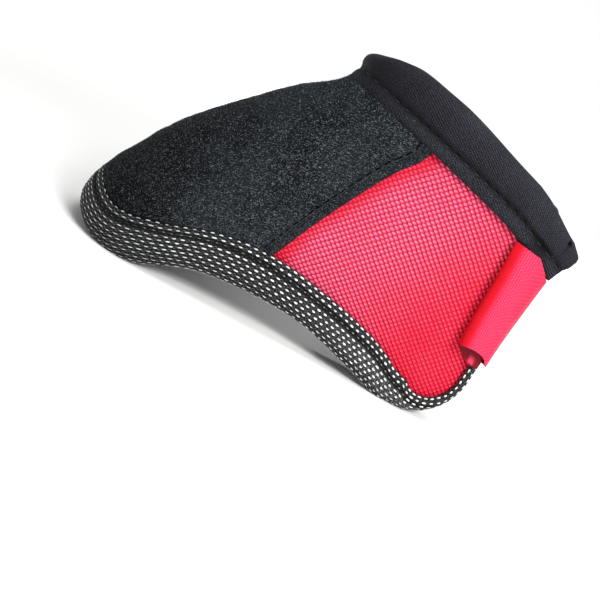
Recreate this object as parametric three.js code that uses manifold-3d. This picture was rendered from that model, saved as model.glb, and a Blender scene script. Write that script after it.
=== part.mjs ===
// Horse bell boot. A flared padded wall is wrapped round the pastern and lapped on its near side.
// A black panel covers the toe, a woven tape binds the rim and the flap's free edge, a padded
// collar finishes the top, and a folded strip on the flap's edge is the pull tab.
// Millimetres, +Z up. Toe towards -X, heel and flap's free edge towards +X, flap's face towards -Y.
import * as THREE from 'three';
import { mergeVertices } from 'three/addons/utils/BufferGeometryUtils.js';
import Module from 'manifold-3d';

// Driving dimensions
const wallThickness = 5;
const seat = 0.3; // clearance between pieces that are sewn to each other
const lap = 11; // from the middle of the covered end to the middle of the flap over it
const underlapLength = 45; // covered end, measured from the heel bend
const cornerRadius = 27; // flap's lower corner, and the length of the flap past the heel bend
const flapCurl = 4; // how far the flap's free edge turns in towards the heel
const underlapShare = 0.28; // share of the near side that the covered end lies behind
const rimBase = 1.3; // wall's lower edge above the floor, where the tape passes under it
const seamAtToe = 131.3; // height of the wall's upper edge at the toe
const seamAtHeel = 107.8; // and at the heel
const seamDrop = 7; // how far it bends down towards the flap's free edge
const tapeThickness = 1.6;
const tapeCrown = 0.6; // how far the tape's padded face swells
const hemOverlap = 5.5; // collar's hem on the outside of the wall
const hemThickness = 1.6;
const collarRise = 20.6; // collar above the wall's upper edge, where it is fullest
const collarLean = 0.17; // how far it leans back at the flap's free edge
const collarPast = 4.2; // collar past the flap's free edge
const pastEdge = 6; // length of the run kept past that edge
const panelThickness = 1.4;
const panelEdge = 0.4; // share of each side that the toe panel covers
const tabThickness = 1.2;
const tabTop = 92.5; // pull tab's upper end at its fold, measured up the flap from the rim
const tabRise = 0.3; // how that end climbs from the fold towards the flap's edge
const tabBottom = { outer: 39, inner: 43.5, round: 11 }; // its lower end at the edge and past a round corner
const tabUnder = { slant: 1, reach: 15 }; // leaf turned under, which hangs lower away from the fold
const tabCorner = { from: 6.7, slope: 0.8 }; // cut upper corner
const tabNarrowing = 0.82; // width at the lower end against the upper end
const centring = -3.18; // brings the box of the whole boot over the origin

// Sections of the wall. at: share of the height from rim to collar seam. toeX, heelX: the ends of
// the slack oval. toeR, heelR: the radii of its ends. bow: how far its sides stand out.
const sections = [
  { at: 0.0, toeX: -108.2, heelX: 94, toeR: 39.5, heelR: 15, bow: -1 },
  { at: 0.2, toeX: -100.2, heelX: 94, toeR: 37.5, heelR: 15, bow: -0.5 },
  { at: 0.4, toeX: -85.5, heelX: 94, toeR: 34.5, heelR: 15, bow: 0 },
  { at: 0.6, toeX: -63.5, heelX: 94.5, toeR: 31, heelR: 15, bow: 0.5 },
  { at: 0.8, toeX: -37.5, heelX: 96, toeR: 27, heelR: 15, bow: 1 },
  { at: 0.9, toeX: -20.5, heelX: 97, toeR: 24.5, heelR: 15, bow: 1.5 },
  { at: 1.0, toeX: -10.5, heelX: 98.5, toeR: 21.5, heelR: 15, bow: 2 },
];

// Stretches of the wall's run seen from above, in order, with their number of steps.
const stretches = [
  { name: 'underlap', steps: 4 },
  { name: 'heelBend', steps: 8 },
  { name: 'farSide', steps: 10 },
  { name: 'toeBend', steps: 14 },
  { name: 'nearSide', steps: 10 },
  { name: 'flapEnd', steps: 6 },
  { name: 'collarEnd', steps: 1 },
];
const [underlap, heelBend, farSide, toeBend, nearSide, flapEnd, collarEnd] = stretches.keys();
const freeEdge = collarEnd; // the wall stops where the collar's reach past it starts

// Wall's lower edge over the floor. at: place on the run from the middle of the toe, either way. The
// rim is lifted in the middle of the toe, stands beside it, arches along each side and stands at the heel.
const rimRises = [
  { at: 0, rise: 9.5 },
  { at: 0.15, rise: 7 },
  { at: 0.3, rise: 1.5 },
  { at: 0.37, rise: 0 },
  { at: 0.44, rise: 0 },
  { at: 0.52, rise: 2 },
  { at: 0.7, rise: 12.5 },
  { at: 0.9, rise: 15.7 },
  { at: 1.1, rise: 14.2 },
  { at: 1.3, rise: 6.4 },
  { at: 1.44, rise: 0 },
  { at: 1.5, rise: 0 },
  { at: 2.5, rise: 0 },
];

// Tape along the rim, then up the flap's free edge. at: place on the run. face, back: its width on
// the outside and on the inside of the wall.
const tapeWidths = [
  { at: 0, face: 14, back: 10 },
  { at: 2, face: 17, back: 12 },
  { at: 3, face: 21, back: 14 },
  { at: 3.3, face: 20.5, back: 14 },
  { at: 3.5, face: 20, back: 14 },
  { at: 3.8, face: 18.8, back: 14 },
  { at: 4, face: 22.2, back: 14 },
  { at: 4.2, face: 21.6, back: 14 },
  { at: 4.4, face: 20.2, back: 14 },
  { at: 4.6, face: 18, back: 13 },
  { at: 4.8, face: 18.7, back: 12 },
  { at: 5, face: 14, back: 10 },
  { at: 5.5, face: 8.8, back: 8 },
  { at: 6, face: 6, back: 6 },
  { at: 7, face: 6, back: 6 },
];

// Tape's section. off: outside of the wall (+) or inside (-), as a share of the half wall.
// leg: share of the width up the wall. swell: share of the crown on the tape's face.
const tapeSection = [
  { off: 1, leg: 1, swell: -1.5 },
  { off: 1, leg: 0.92, swell: 0 },
  { off: 1, leg: 0.7, swell: 0.8 },
  { off: 1, leg: 0.45, swell: 1 },
  { off: 1, leg: 0.2, swell: 0.6 },
  { off: 1, leg: 0, swell: 0 },
  { off: 0.5, leg: 0, swell: 0 },
  { off: -0.5, leg: 0, swell: 0 },
  { off: -1, leg: 0, swell: 0 },
  { off: -1, leg: 0.6, swell: 0 },
  { off: -1, leg: 1, swell: -1.5 },
];

// Collar above the wall's upper edge. up: share of the rise. out, back: how far its two faces
// stand from the middle of the wall.
const collarSection = [
  { up: 0.1, out: 5.0, back: 3.4 },
  { up: 0.3, out: 5.9, back: 4.2 },
  { up: 0.52, out: 6.0, back: 4.3 },
  { up: 0.72, out: 5.3, back: 3.8 },
  { up: 0.88, out: 3.6, back: 2.6 },
  { up: 0.97, out: 1.6, back: 1.2 },
];
const collarRises = [
  { at: 0, rise: 0.73 },
  { at: 1, rise: 0.73 },
  { at: 2, rise: 0.72 },
  { at: 3, rise: 0.65 },
  { at: 3.5, rise: 0.64 },
  { at: 4, rise: 0.95 },
  { at: 4.4, rise: 1 },
  { at: 4.8, rise: 0.9 },
  { at: 5.3, rise: 0.85 },
  { at: 6, rise: 0.7 },
  { at: 7, rise: 0.67 },
];

// Pull tab's strip round the flap's free edge: from its end on the inside, round the edge, over the
// flap to its fold, and back under itself over the tape. inward: from the free edge. off: from the
// middle of the wall.
const tabSection = [
  { inward: 11, off: -3.9 },
  { inward: 5, off: -5.2 },
  { inward: -0.5, off: -5.2 },
  { inward: -3.4, off: -1.5 },
  { inward: -3.2, off: 3 },
  { inward: 0.5, off: 7.2 },
  { inward: 6, off: 8.8 },
  { inward: 13, off: 9 },
  { inward: 18.5, off: 8.2 },
  { inward: 20.4, off: 6 },
  { inward: 18.6, off: 4 },
  { inward: 13, off: 3.7 },
  { inward: 10, off: 3.9 },
  { inward: 7.2, off: 5.1 },
  { inward: 4.5, off: 6 },
  { inward: 1.5, off: 5.9 },
];

const half = wallThickness / 2;
const last = sections.length - 1;

// Value of a table's column at a place: a cubic through the rows, sloped as their neighbours lie.
function column(rows, key, place) {
  const end = rows.length - 1;
  const slope = (k) => {
    const a = Math.max(k - 1, 0);
    const b = Math.min(k + 1, end);
    return (rows[b][key] - rows[a][key]) / (rows[b].at - rows[a].at);
  };
  const found = rows.findIndex((row) => row.at > place);
  const k = found === -1 ? end - 1 : Math.max(found - 1, 0);
  const span = rows[k + 1].at - rows[k].at;
  const s = THREE.MathUtils.clamp((place - rows[k].at) / span, 0, 1);
  const fromStart = (1 + 2 * s) * (1 - s) ** 2 * rows[k][key] + s * (1 - s) ** 2 * span * slope(k);
  const fromEnd = s * s * (3 - 2 * s) * rows[k + 1][key] + s * s * (s - 1) * span * slope(k + 1);
  return fromStart + fromEnd;
}

// Middle of the wall seen from above: two circles, the tangent on the far side, and on the near
// side the flap's tangent, which passes the heel circle at the lap's distance.
function planAt(along, share) {
  const [toeX, heelX, toeR, heelR, bow] = ['toeX', 'heelX', 'toeR', 'heelR', 'bow'].map((key) =>
    column(sections, key, share)
  );
  const toe = new THREE.Vector2(toeX + toeR, 0);
  const heel = new THREE.Vector2(heelX - heelR, 0);
  const reach = heel.x - toe.x;
  const farX = (toeR - heelR) / reach;
  const nearX = (toeR - heelR - lap) / reach;
  const far = new THREE.Vector2(farX, Math.sqrt(1 - farX * farX));
  const near = new THREE.Vector2(nearX, -Math.sqrt(1 - nearX * nearX));
  const heelward = new THREE.Vector2(-near.y, near.x);
  const k = Math.min(Math.floor(along), collarEnd);
  const f = along - k;
  const on = (centre, radius, normal) => centre.clone().addScaledVector(normal, radius);
  const arc = (centre, radius, from, to) => {
    const angle = THREE.MathUtils.lerp(from, to, f);
    return on(centre, radius, new THREE.Vector2(Math.cos(angle), Math.sin(angle)));
  };
  const bulge = bow * Math.sin(Math.PI * f) ** 2;
  const side = (start, end, normal) => start.lerp(end, f).addScaledVector(normal, bulge);
  const nearAngle = Math.atan2(near.y, near.x);
  const farAngle = Math.atan2(far.y, far.x);
  const flapStart = on(heel, heelR + lap, near);
  if (k === underlap) return on(heel, heelR, near).addScaledVector(heelward, (f - 1) * underlapLength);
  if (k === heelBend) return arc(heel, heelR, nearAngle, farAngle);
  if (k === farSide) return side(on(heel, heelR, far), on(toe, toeR, far), far);
  if (k === toeBend) return arc(toe, toeR, farAngle, nearAngle + 2 * Math.PI);
  if (k === nearSide) return side(on(toe, toeR, near), flapStart, near);
  const pastBend = k === flapEnd ? f * cornerRadius : cornerRadius + f * pastEdge;
  const curl = flapCurl * (pastBend / cornerRadius) ** 2;
  return flapStart.addScaledVector(heelward, pastBend).addScaledVector(near, -curl);
}

// Height of the wall's lower edge. The covered end follows the flap that lies over it.
function rimHeight(along) {
  const middle = toeBend + 0.5;
  const covered = nearSide + 1 - middle - underlapShare * (heelBend - along);
  const fromToe = along < heelBend ? covered : Math.abs(along - middle);
  return rimBase + Math.max(0, column(rimRises, 'rise', fromToe));
}

// The collar seam lies in one plane that falls from toe to heel, and bends down on the flap.
const seamFall = (seamAtHeel - seamAtToe) / (sections[last].heelX - sections[last].toeX);
const seamHeight = (along) =>
  seamAtToe +
  seamFall * (planAt(along, 1).x - sections[last].toeX) -
  seamDrop * THREE.MathUtils.smoothstep(along, nearSide + 0.5, collarEnd + 0.5);
const seamNormal = new THREE.Vector3(-seamFall, 0, 1).normalize();

// Point in the middle of the wall, at a place on its run and a share of its height.
function wallPoint(along, share) {
  const plan = planAt(along, share);
  const height = THREE.MathUtils.lerp(rimHeight(along), seamHeight(along), share);
  return new THREE.Vector3(plan.x + centring, plan.y, height);
}

// The wall's own directions there: along the run, up the wall and out of it, with the wall's
// length for a whole share at that height.
function wallFrame(along, share) {
  const nudge = 1e-3;
  const a = [Math.max(along - nudge, 0), Math.min(along + nudge, stretches.length - nudge)];
  const s = [Math.max(share - nudge, 0), Math.min(share + nudge, 1)];
  const run = wallPoint(a[1], share).sub(wallPoint(a[0], share)).normalize();
  const climb = wallPoint(along, s[1]).sub(wallPoint(along, s[0]));
  const length = climb.length() / (s[1] - s[0]);
  const up = climb.normalize();
  const out = new THREE.Vector3().crossVectors(run, up).normalize();
  return { run, up, out, length };
}

// Point at a distance outside (+) or inside (-) the middle of the wall.
function offWall(along, share, off) {
  return wallPoint(along, share).addScaledVector(wallFrame(along, share).out, off);
}

// Places on the run, stretch by stretch, from one stretch to before another.
function runPlaces(first, past) {
  const places = [first];
  for (let k = first; k < past; k += 1) {
    const { steps } = stretches[k];
    for (let i = 1; i <= steps; i += 1) places.push(k + i / steps);
  }
  return places;
}

// Places up to the flap's end, closer together where its lower corner turns up.
const cornerSteps = stretches[flapEnd].steps;
const cornerTurns = Array.from({ length: cornerSteps }, (_, i) => ((i + 1) / cornerSteps) * (Math.PI / 2));
const wallPlaces = [...runPlaces(underlap, flapEnd), ...cornerTurns.map((turn) => flapEnd + Math.sin(turn))];

// Place on the run at a distance in from the flap's free edge, or past it where negative.
const flapPlace = (inward) => freeEdge - inward / (inward >= 0 ? cornerRadius : pastEdge);

// Height share of the wall's lower edge, which only the flap's round corner raises.
function lowerShare(along) {
  if (along <= flapEnd) return 0;
  const turn = along - flapEnd;
  const raised = cornerRadius * (1 - Math.sqrt(Math.max(0, 1 - turn * turn)));
  return raised / wallFrame(along, 0).length;
}

// Closed solid between two sheets of points with the same stations and rows.
function sheetSolid(outer, inner) {
  const stations = outer.length;
  const rows = outer[0].length;
  const position = [...outer.flat(), ...inner.flat()].flatMap((p) => [p.x, p.y, p.z]);
  const index = [];
  const back = stations * rows;
  const quad = (a, b, c, d) => index.push(a, b, c, a, c, d);
  for (let i = 0; i < stations - 1; i += 1) {
    const here = i * rows;
    const next = here + rows;
    for (let j = 0; j < rows - 1; j += 1) {
      quad(here + j, next + j, next + j + 1, here + j + 1);
      quad(back + here + j, back + here + j + 1, back + next + j + 1, back + next + j);
    }
    const top = rows - 1;
    quad(here, back + here, back + next, next);
    quad(here + top, next + top, back + next + top, back + here + top);
  }
  const end = (stations - 1) * rows;
  for (let j = 0; j < rows - 1; j += 1) {
    quad(j, j + 1, back + j + 1, back + j);
    quad(end + j, back + end + j, back + end + j + 1, end + j + 1);
  }
  const geometry = new THREE.BufferGeometry();
  geometry.setAttribute('position', new THREE.Float32BufferAttribute(position, 3));
  geometry.setIndex(index);
  return geometry;
}

// Padded wall: one hollow form, open above and below.
const wallRows = 16;
function wallGeometry() {
  const face = (off) =>
    wallPlaces.map((along) => {
      const low = lowerShare(along);
      return Array.from({ length: wallRows + 1 }, (_, j) => offWall(along, low + ((1 - low) * j) / wallRows, off));
    });
  return sheetSolid(face(half), face(-half));
}

// Stations of the tape: the wall's lower edge, the flap's round corner and its free edge. Each
// gives the place a distance in from the edge, and the direction out of the wall's edge there.
function tapeStations() {
  const rim = runPlaces(underlap, flapEnd).map((along) => ({
    at: along,
    edge: { along, share: 0 },
    inset: (distance) => ({ along, share: distance / wallFrame(along, 0).length }),
    turn: 0,
  }));
  const onFlap = (at, turn, centreUp) => {
    const inset = (distance) => {
      const inward = cornerRadius - (cornerRadius - distance) * Math.sin(turn);
      const climb = centreUp - (cornerRadius - distance) * Math.cos(turn);
      const along = flapPlace(inward);
      return { along, share: climb / wallFrame(along, 0).length };
    };
    return { at, edge: inset(0), inset, turn };
  };
  const corner = cornerTurns.map((turn) => onFlap(flapEnd + Math.sin(turn), turn, cornerRadius));
  const edgeSteps = 8;
  const edgeTop = wallFrame(freeEdge, 0).length - hemOverlap - tapeThickness;
  const upEdge = Array.from({ length: edgeSteps }, (_, i) => {
    const share = (i + 1) / edgeSteps;
    return onFlap(freeEdge + share, Math.PI / 2, THREE.MathUtils.lerp(cornerRadius, edgeTop, share));
  });
  return [...rim, ...corner, ...upEdge];
}

// Tape folded over the edge. What would pass below the floor is pressed flat.
function tapeGeometry() {
  const stations = tapeStations();
  const sheet = (thickness, crown) =>
    stations.map(({ at, edge, inset, turn }) => {
      const frame = wallFrame(edge.along, edge.share);
      const down = frame.up.clone().negate();
      const outward = down.multiplyScalar(Math.cos(turn)).addScaledVector(frame.run, Math.sin(turn));
      return tapeSection.map(({ off, leg, swell }) => {
        if (Math.abs(off) < 1) {
          return wallPoint(edge.along, edge.share)
            .addScaledVector(outward, seat + thickness)
            .addScaledVector(frame.out, off * half);
        }
        const width = column(tapeWidths, off > 0 ? 'face' : 'back', at);
        const place = inset(width * leg);
        const height = half + seat + thickness + swell * crown;
        return offWall(place.along, place.share, Math.sign(off) * height);
      });
    });
  // the section runs down the outside and up the inside, so its sheets are handed the other way
  return aboveFloor(sheetSolid(sheet(0, 0), sheet(tapeThickness, tapeCrown)));
}

// Collar: a hem on the outside of the wall, then a padded roll standing square to the seam and
// leaning back at the flap's free edge.
function collarGeometry() {
  const places = [...runPlaces(underlap, collarEnd), collarEnd + collarPast / pastEdge];
  const body = (along, side) => {
    const frame = wallFrame(along, 1);
    const lean = collarLean * THREE.MathUtils.smoothstep(along, nearSide + 0.7, collarEnd + 0.2);
    const up = seamNormal.clone().add(new THREE.Vector3(lean, 0, 0)).normalize();
    const out = frame.out.clone().projectOnPlane(up).normalize();
    const rise = collarRise * column(collarRises, 'rise', along);
    return collarSection.map((row) =>
      wallPoint(along, 1)
        .addScaledVector(up, row.up * rise)
        .addScaledVector(out, side > 0 ? row.out : -row.back)
    );
  };
  const hem = (along, off) =>
    [1, 0.5, 0].map((share) => offWall(along, 1 - (share * hemOverlap) / wallFrame(along, 1).length, off));
  const outside = places.map((along) => [...hem(along, half + seat + hemThickness), ...body(along, 1)]);
  const inside = places.map((along) => {
    const lip = wallFrame(along, 1).up.multiplyScalar(seat);
    const [low, middle, high] = hem(along, half + seat);
    const overWall = [high.add(lip), offWall(along, 1, -half).add(lip)];
    return [low, middle, ...overWall, ...body(along, -1).slice(1)];
  });
  return sheetSolid(outside, inside);
}

// Toe panel: a skin cut from the wall's own form and rows, between the tape and the collar's hem.
function toePanelGeometry() {
  const within = (along) => Math.abs(along - (toeBend + nearSide) / 2) < 0.5 + panelEdge + 1e-6;
  const places = runPlaces(farSide, flapEnd).filter(within);
  const low = (along) => (column(tapeWidths, 'face', along) + seat) / wallFrame(along, 0).length;
  const high = (along) => 1 - (hemOverlap + seat) / wallFrame(along, 1).length;
  const lowest = Math.max(...places.map(low));
  const highest = Math.min(...places.map(high));
  const between = Array.from({ length: wallRows }, (_, j) => j / wallRows).filter(
    (share) => share > lowest && share < highest
  );
  const face = (off) =>
    places.map((along) => [low(along), ...between, high(along)].map((share) => offWall(along, share, off)));
  return sheetSolid(face(half + seat + panelThickness), face(half + seat));
}

// Pull tab: a strip along a smooth section round the flap's free edge, carried up the flap.
function pullTabGeometry() {
  const line = new THREE.CatmullRomCurve3(tabSection.map((row) => new THREE.Vector3(row.inward, row.off, 0)));
  const steps = 30;
  const lengthSteps = 6;
  const reach = line.getLength();
  const places = Array.from({ length: 8 * steps + 1 }, (_, i) => i / (8 * steps));
  const fold = places.reduce((best, u) => (line.getPointAt(u).x > line.getPointAt(best).x ? u : best), 0);
  const foldInward = line.getPointAt(fold).x;
  const sheet = (side) =>
    Array.from({ length: lengthSteps + 1 }, (_, i) =>
      Array.from({ length: steps + 1 }, (__, j) => {
        const middle = line.getPointAt(j / steps);
        const tangent = line.getTangentAt(j / steps);
        const x = middle.x - tangent.y * side * (tabThickness / 2);
        const off = middle.y + tangent.x * side * (tabThickness / 2);
        const climb = i / lengthSteps;
        const inward = x > 0 ? x * THREE.MathUtils.lerp(tabNarrowing, 1, climb) : x;
        const round = 1 - THREE.MathUtils.clamp(x / tabBottom.round, 0, 1);
        const outerLow = THREE.MathUtils.lerp(tabBottom.outer, tabBottom.inner, Math.sqrt(1 - round * round));
        const away = Math.max(0, foldInward - x);
        const underLow = tabBottom.inner - tabUnder.slant * away * (1 - away / (2 * tabUnder.reach));
        const low = j / steps > fold ? underLow : outerLow;
        const fromFold = Math.max(0, fold - j / steps) * reach;
        const fromInnerEnd = (j / steps) * reach;
        const climbing = tabRise * Math.min(fromFold, 1.4 * fromInnerEnd);
        const high = tabTop + climbing - tabCorner.slope * Math.max(0, tabCorner.from - x);
        const along = flapPlace(inward);
        return offWall(along, THREE.MathUtils.lerp(low, high, climb) / wallFrame(freeEdge, 0).length, off);
      })
    );
  return sheetSolid(sheet(1), sheet(-1));
}

// Cuts away what is below the floor.
const wasm = await Module();
wasm.setup();
function solidOf(geometry) {
  const bare = geometry.clone();
  bare.deleteAttribute('normal');
  bare.deleteAttribute('uv');
  const merged = mergeVertices(bare);
  return new wasm.Manifold(
    new wasm.Mesh({
      numProp: 3,
      vertProperties: new Float32Array(merged.attributes.position.array),
      triVerts: new Uint32Array(merged.index.array),
    })
  );
}
function aboveFloor(geometry) {
  const span = 500; // wider than the boot
  const floor = new THREE.BoxGeometry(span, span, span).translate(0, 0, -span / 2);
  const mesh = solidOf(geometry).subtract(solidOf(floor)).getMesh();
  const trimmed = new THREE.BufferGeometry();
  trimmed.setAttribute('position', new THREE.Float32BufferAttribute(mesh.vertProperties, 3));
  trimmed.setIndex(Array.from(mesh.triVerts));
  return trimmed;
}

const finishes = {
  shell: { color: 0xd81f3c, roughness: 0.55, metalness: 0 },
  toe_panel: { color: 0x24272a, roughness: 0.95, metalness: 0 },
  binding: { color: 0x2b2b2d, roughness: 0.8, metalness: 0 },
  collar: { color: 0x17181b, roughness: 0.85, metalness: 0 },
  pull_tab: { color: 0xe0283f, roughness: 0.45, metalness: 0 },
};

const boot = new THREE.Group();
function addPiece(name, geometry) {
  geometry.computeVertexNormals();
  const piece = new THREE.Mesh(geometry, new THREE.MeshStandardMaterial(finishes[name]));
  piece.name = name;
  boot.add(piece);
}
addPiece('shell', wallGeometry());
addPiece('toe_panel', toePanelGeometry());
addPiece('binding', tapeGeometry());
addPiece('collar', collarGeometry());
addPiece('pull_tab', pullTabGeometry());

export default boot;
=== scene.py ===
import math

import bpy
import numpy as np
from mathutils import Matrix, Vector


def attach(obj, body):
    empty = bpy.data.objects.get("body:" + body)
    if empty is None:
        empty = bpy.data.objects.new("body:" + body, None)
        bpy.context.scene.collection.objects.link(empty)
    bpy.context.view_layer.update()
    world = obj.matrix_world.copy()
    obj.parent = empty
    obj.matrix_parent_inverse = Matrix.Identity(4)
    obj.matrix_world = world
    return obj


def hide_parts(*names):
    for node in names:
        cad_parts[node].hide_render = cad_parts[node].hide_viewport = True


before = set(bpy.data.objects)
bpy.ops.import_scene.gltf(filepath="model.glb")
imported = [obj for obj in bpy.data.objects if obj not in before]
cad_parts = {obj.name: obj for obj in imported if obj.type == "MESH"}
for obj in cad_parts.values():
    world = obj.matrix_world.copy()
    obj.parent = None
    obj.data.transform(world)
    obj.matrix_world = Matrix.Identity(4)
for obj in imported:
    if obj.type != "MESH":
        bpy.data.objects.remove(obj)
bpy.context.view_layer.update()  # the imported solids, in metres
print("frame loaded:", ", ".join(sorted(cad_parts)))

mm = 0.001
dice = np.random.default_rng(27)


class Form(dict):  # one dictionary for each piece, read as form.name
    __getattr__ = dict.__getitem__


# Camera, floor and light

studio = Form(
    target=(12.82, 0.0, 15.3),  # millimetres, in the boot's frame
    elevation=16.0,
    distance=430.0,
    roll=30.0,  # the picture is turned clockwise
    focalPixels=811.3,
    picturePixels=600.0,
    sensor=36.0,
    floorSize=6000.0,
    floorTints=((248, 248, 247), (244, 244, 243)),
    floorGlow=(0.28, 0.9),  # metres over which the far floor fades into the white surround
    skyBand=(0.16, 0.5),  # upward share of a direction where the white surround dims
    skyAbove=0.3,
    lamps=(  # name, place in millimetres, aimed at, width, power in watts
        ("keyLamp", (520.0, -560.0, 640.0), (20.0, 0.0, 60.0), 380.0, 9.0),
        ("topLamp", (100.0, -60.0, 900.0), (0.0, 0.0, 40.0), 600.0, 5.0),
    ),
)


def addObject(name, data):
    made = bpy.data.objects.new(name, data)
    bpy.context.scene.collection.objects.link(made)
    return made


def makeCamera():  # the rolled view at the photograph's angle
    elevation, roll = np.radians([studio.elevation, studio.roll])
    right = np.array([1.0, 0.0, 0.0])
    back = np.array([0.0, -np.cos(elevation), np.sin(elevation)])
    up = np.cross(back, right)
    turnedRight = right * np.cos(roll) + up * np.sin(roll)
    turnedUp = up * np.cos(roll) - right * np.sin(roll)
    place = (np.array(studio.target) + back * studio.distance) * mm
    data = bpy.data.cameras.new("camera")
    data.sensor_width = studio.sensor
    data.lens = studio.focalPixels * studio.sensor / studio.picturePixels
    data.clip_start = 0.01
    camera = addObject("camera", data)
    columns = np.column_stack([turnedRight, turnedUp, back, place])
    camera.matrix_world = Matrix(np.vstack([columns, [0.0, 0.0, 0.0, 1.0]]).tolist())
    bpy.context.scene.camera = camera


def makeLamps():  # soft square lamps, each turned to its aim
    for name, place, aim, width, power in studio.lamps:
        data = bpy.data.lights.new(name, "AREA")
        data.size = width * mm
        data.energy = power
        lamp = addObject(name, data)
        lamp.location = Vector(place) * mm
        lamp.rotation_euler = (Vector(place) - Vector(aim)).to_track_quat("Z", "Y").to_euler()
    bpy.context.scene.view_settings.view_transform = "Standard"


def makeSurround():  # white near the horizon, dimmer above
    world = bpy.data.worlds.new("softWhite")
    start = emptyTree(world)
    upward = start.node("ShaderNodeTexCoord").parts()[2]
    strength = 1 - upward.step(*studio.skyBand) * (1 - studio.skyAbove)
    light = start.node("ShaderNodeBackground", None, {"Color": (1.0, 1.0, 1.0, 1.0), "Strength": strength})
    start.node("ShaderNodeOutputWorld", None, {"Surface": light})
    bpy.context.scene.world = world


def floorFinish():  # pale, and glowing far away so that it meets the surround
    material, start = startFinish("paleFloor")
    place = objectPlace(start)
    x, y, _ = place.parts()
    far = ((x * x + y * y) ** 0.5).step(*studio.floorGlow) * 0.85
    colour = (place.spots(8.0) * 0.3).tint(*(dye(*tint) for tint in studio.floorTints))
    glow = {"Emission Color": far.beside(far, far), "Emission Strength": 1.0}
    return closeFinish(material, start, colour, 0.9, 0.1, others=glow)


def makeFloor():  # one large square
    corners = np.array([[-1, -1, 0], [1, -1, 0], [1, 1, 0], [-1, 1, 0]]) * (studio.floorSize / 2) * mm
    mesh = bpy.data.meshes.new("floor")
    mesh.from_pydata(corners.tolist(), [], [(0, 1, 2, 3)])
    mesh.materials.append(floorFinish())
    floor = addObject("floor", mesh)


# Shader maths

class Signal:  # one node socket; arithmetic on it adds Math nodes
    def __init__(self, tree, socket=None):
        self.tree = tree
        self.socket = socket

    def node(self, kind, settings=None, sockets=None, pick=0):  # settings first, then sockets
        made = self.tree.nodes.new(kind)
        for key, value in (settings or {}).items():
            setattr(made, key, value)
        for key, value in (sockets or {}).items():
            if isinstance(value, Signal):
                self.tree.links.new(value.socket, made.inputs[key])
            else:
                made.inputs[key].default_value = value
        return Signal(self.tree, made.outputs[pick] if made.outputs else None)

    def maths(self, operation, first, second=0.0, clamp=False):
        settings = {"operation": operation, "use_clamp": clamp}
        return self.node("ShaderNodeMath", settings, {0: first, 1: second})

    def __add__(self, other):
        return self.maths("ADD", self, other)

    def __radd__(self, other):
        return self.maths("ADD", other, self)

    def __sub__(self, other):
        return self.maths("SUBTRACT", self, other)

    def __rsub__(self, other):
        return self.maths("SUBTRACT", other, self)

    def __mul__(self, other):
        return self.maths("MULTIPLY", self, other)

    def __rmul__(self, other):
        return self.maths("MULTIPLY", other, self)

    def __truediv__(self, other):
        return self.maths("DIVIDE", self, other)

    def __pow__(self, other):
        return self.maths("POWER", self, other)

    def wave(self):  # from 0 to 1 and back, once for each whole number, 1 at whole numbers
        return self.maths("COSINE", self * (2 * math.pi)) * 0.5 + 0.5

    def size(self):
        return self.maths("ABSOLUTE", self)

    def floor(self):
        return self.maths("FLOOR", self)

    def kept(self):  # held between 0 and 1
        return self.maths("ADD", self, 0.0, True)

    def step(self, low, high):  # soft step from 0 at low to 1 at high
        settings = {"interpolation_type": "SMOOTHSTEP"}
        return self.node("ShaderNodeMapRange", settings, {0: self, 1: low, 2: high})

    def near(self, value, inner, outer):  # 1 close to a value, 0 past the outer distance from it
        return 1 - (self - value).size().step(inner, outer)

    def tint(self, first, second):  # colour between two, with this as the share of the second
        return self.node("ShaderNodeMix", {"data_type": "RGBA"}, {0: self, 6: first, 7: second}, 2)

    def beside(self, second, third=0.0):  # a vector of this and two more values
        return self.node("ShaderNodeCombineXYZ", None, {0: self, 1: second, 2: third})

    def spots(self, scale, detail=2.0, rough=0.5):  # noise at this vector
        sockets = {"Vector": self, "Scale": scale, "Detail": detail, "Roughness": rough}
        return self.node("ShaderNodeTexNoise", None, sockets)

    def parts(self):
        made = self.node("ShaderNodeSeparateXYZ", None, {0: self}).socket.node
        return [Signal(self.tree, out) for out in made.outputs]


def dye(red, green, blue):  # a screen colour as the shader's linear one
    screen = np.array([red, green, blue]) / 255
    linear = np.where(screen <= 0.04045, screen / 12.92, ((screen + 0.055) / 1.055) ** 2.4)
    return (*linear.tolist(), 1.0)


def emptyTree(owner):
    owner.use_nodes = True
    owner.node_tree.nodes.clear()
    return Signal(owner.node_tree)


def startFinish(name):
    material = bpy.data.materials.new(name)
    return material, emptyTree(material)


def closeFinish(material, start, colour, rough, specular=0.5, relief=None, depth=0.0, others=None):
    sockets = {"Base Color": colour, "Roughness": rough, "Specular IOR Level": specular, **(others or {})}
    if relief is not None:  # a height, with its depth in millimetres
        bump = {"Height": relief, "Distance": depth * mm, "Strength": 1.0}
        sockets["Normal"] = start.node("ShaderNodeBump", None, bump)
    shader = start.node("ShaderNodeBsdfPrincipled", None, sockets)
    start.node("ShaderNodeOutputMaterial", None, {"Surface": shader})
    return material


def sheen(weight, rough, tint):
    return {"Sheen Weight": weight, "Sheen Roughness": rough, "Sheen Tint": dye(*tint)}


def clothPlace(start):  # the piece's own flat coordinates, in millimetres
    u, v, _ = start.node("ShaderNodeUVMap", {"uv_map": "cloth"}).parts()
    return u / mm, v / mm


def objectPlace(start):
    return start.node("ShaderNodeTexCoord", None, None, 3)


def mark(start, name):  # a value kept on the piece's points
    return start.node("ShaderNodeAttribute", {"attribute_name": name}, None, 2)


# The padded wall that every piece is sewn to, in millimetres, as the solids have it

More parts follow.
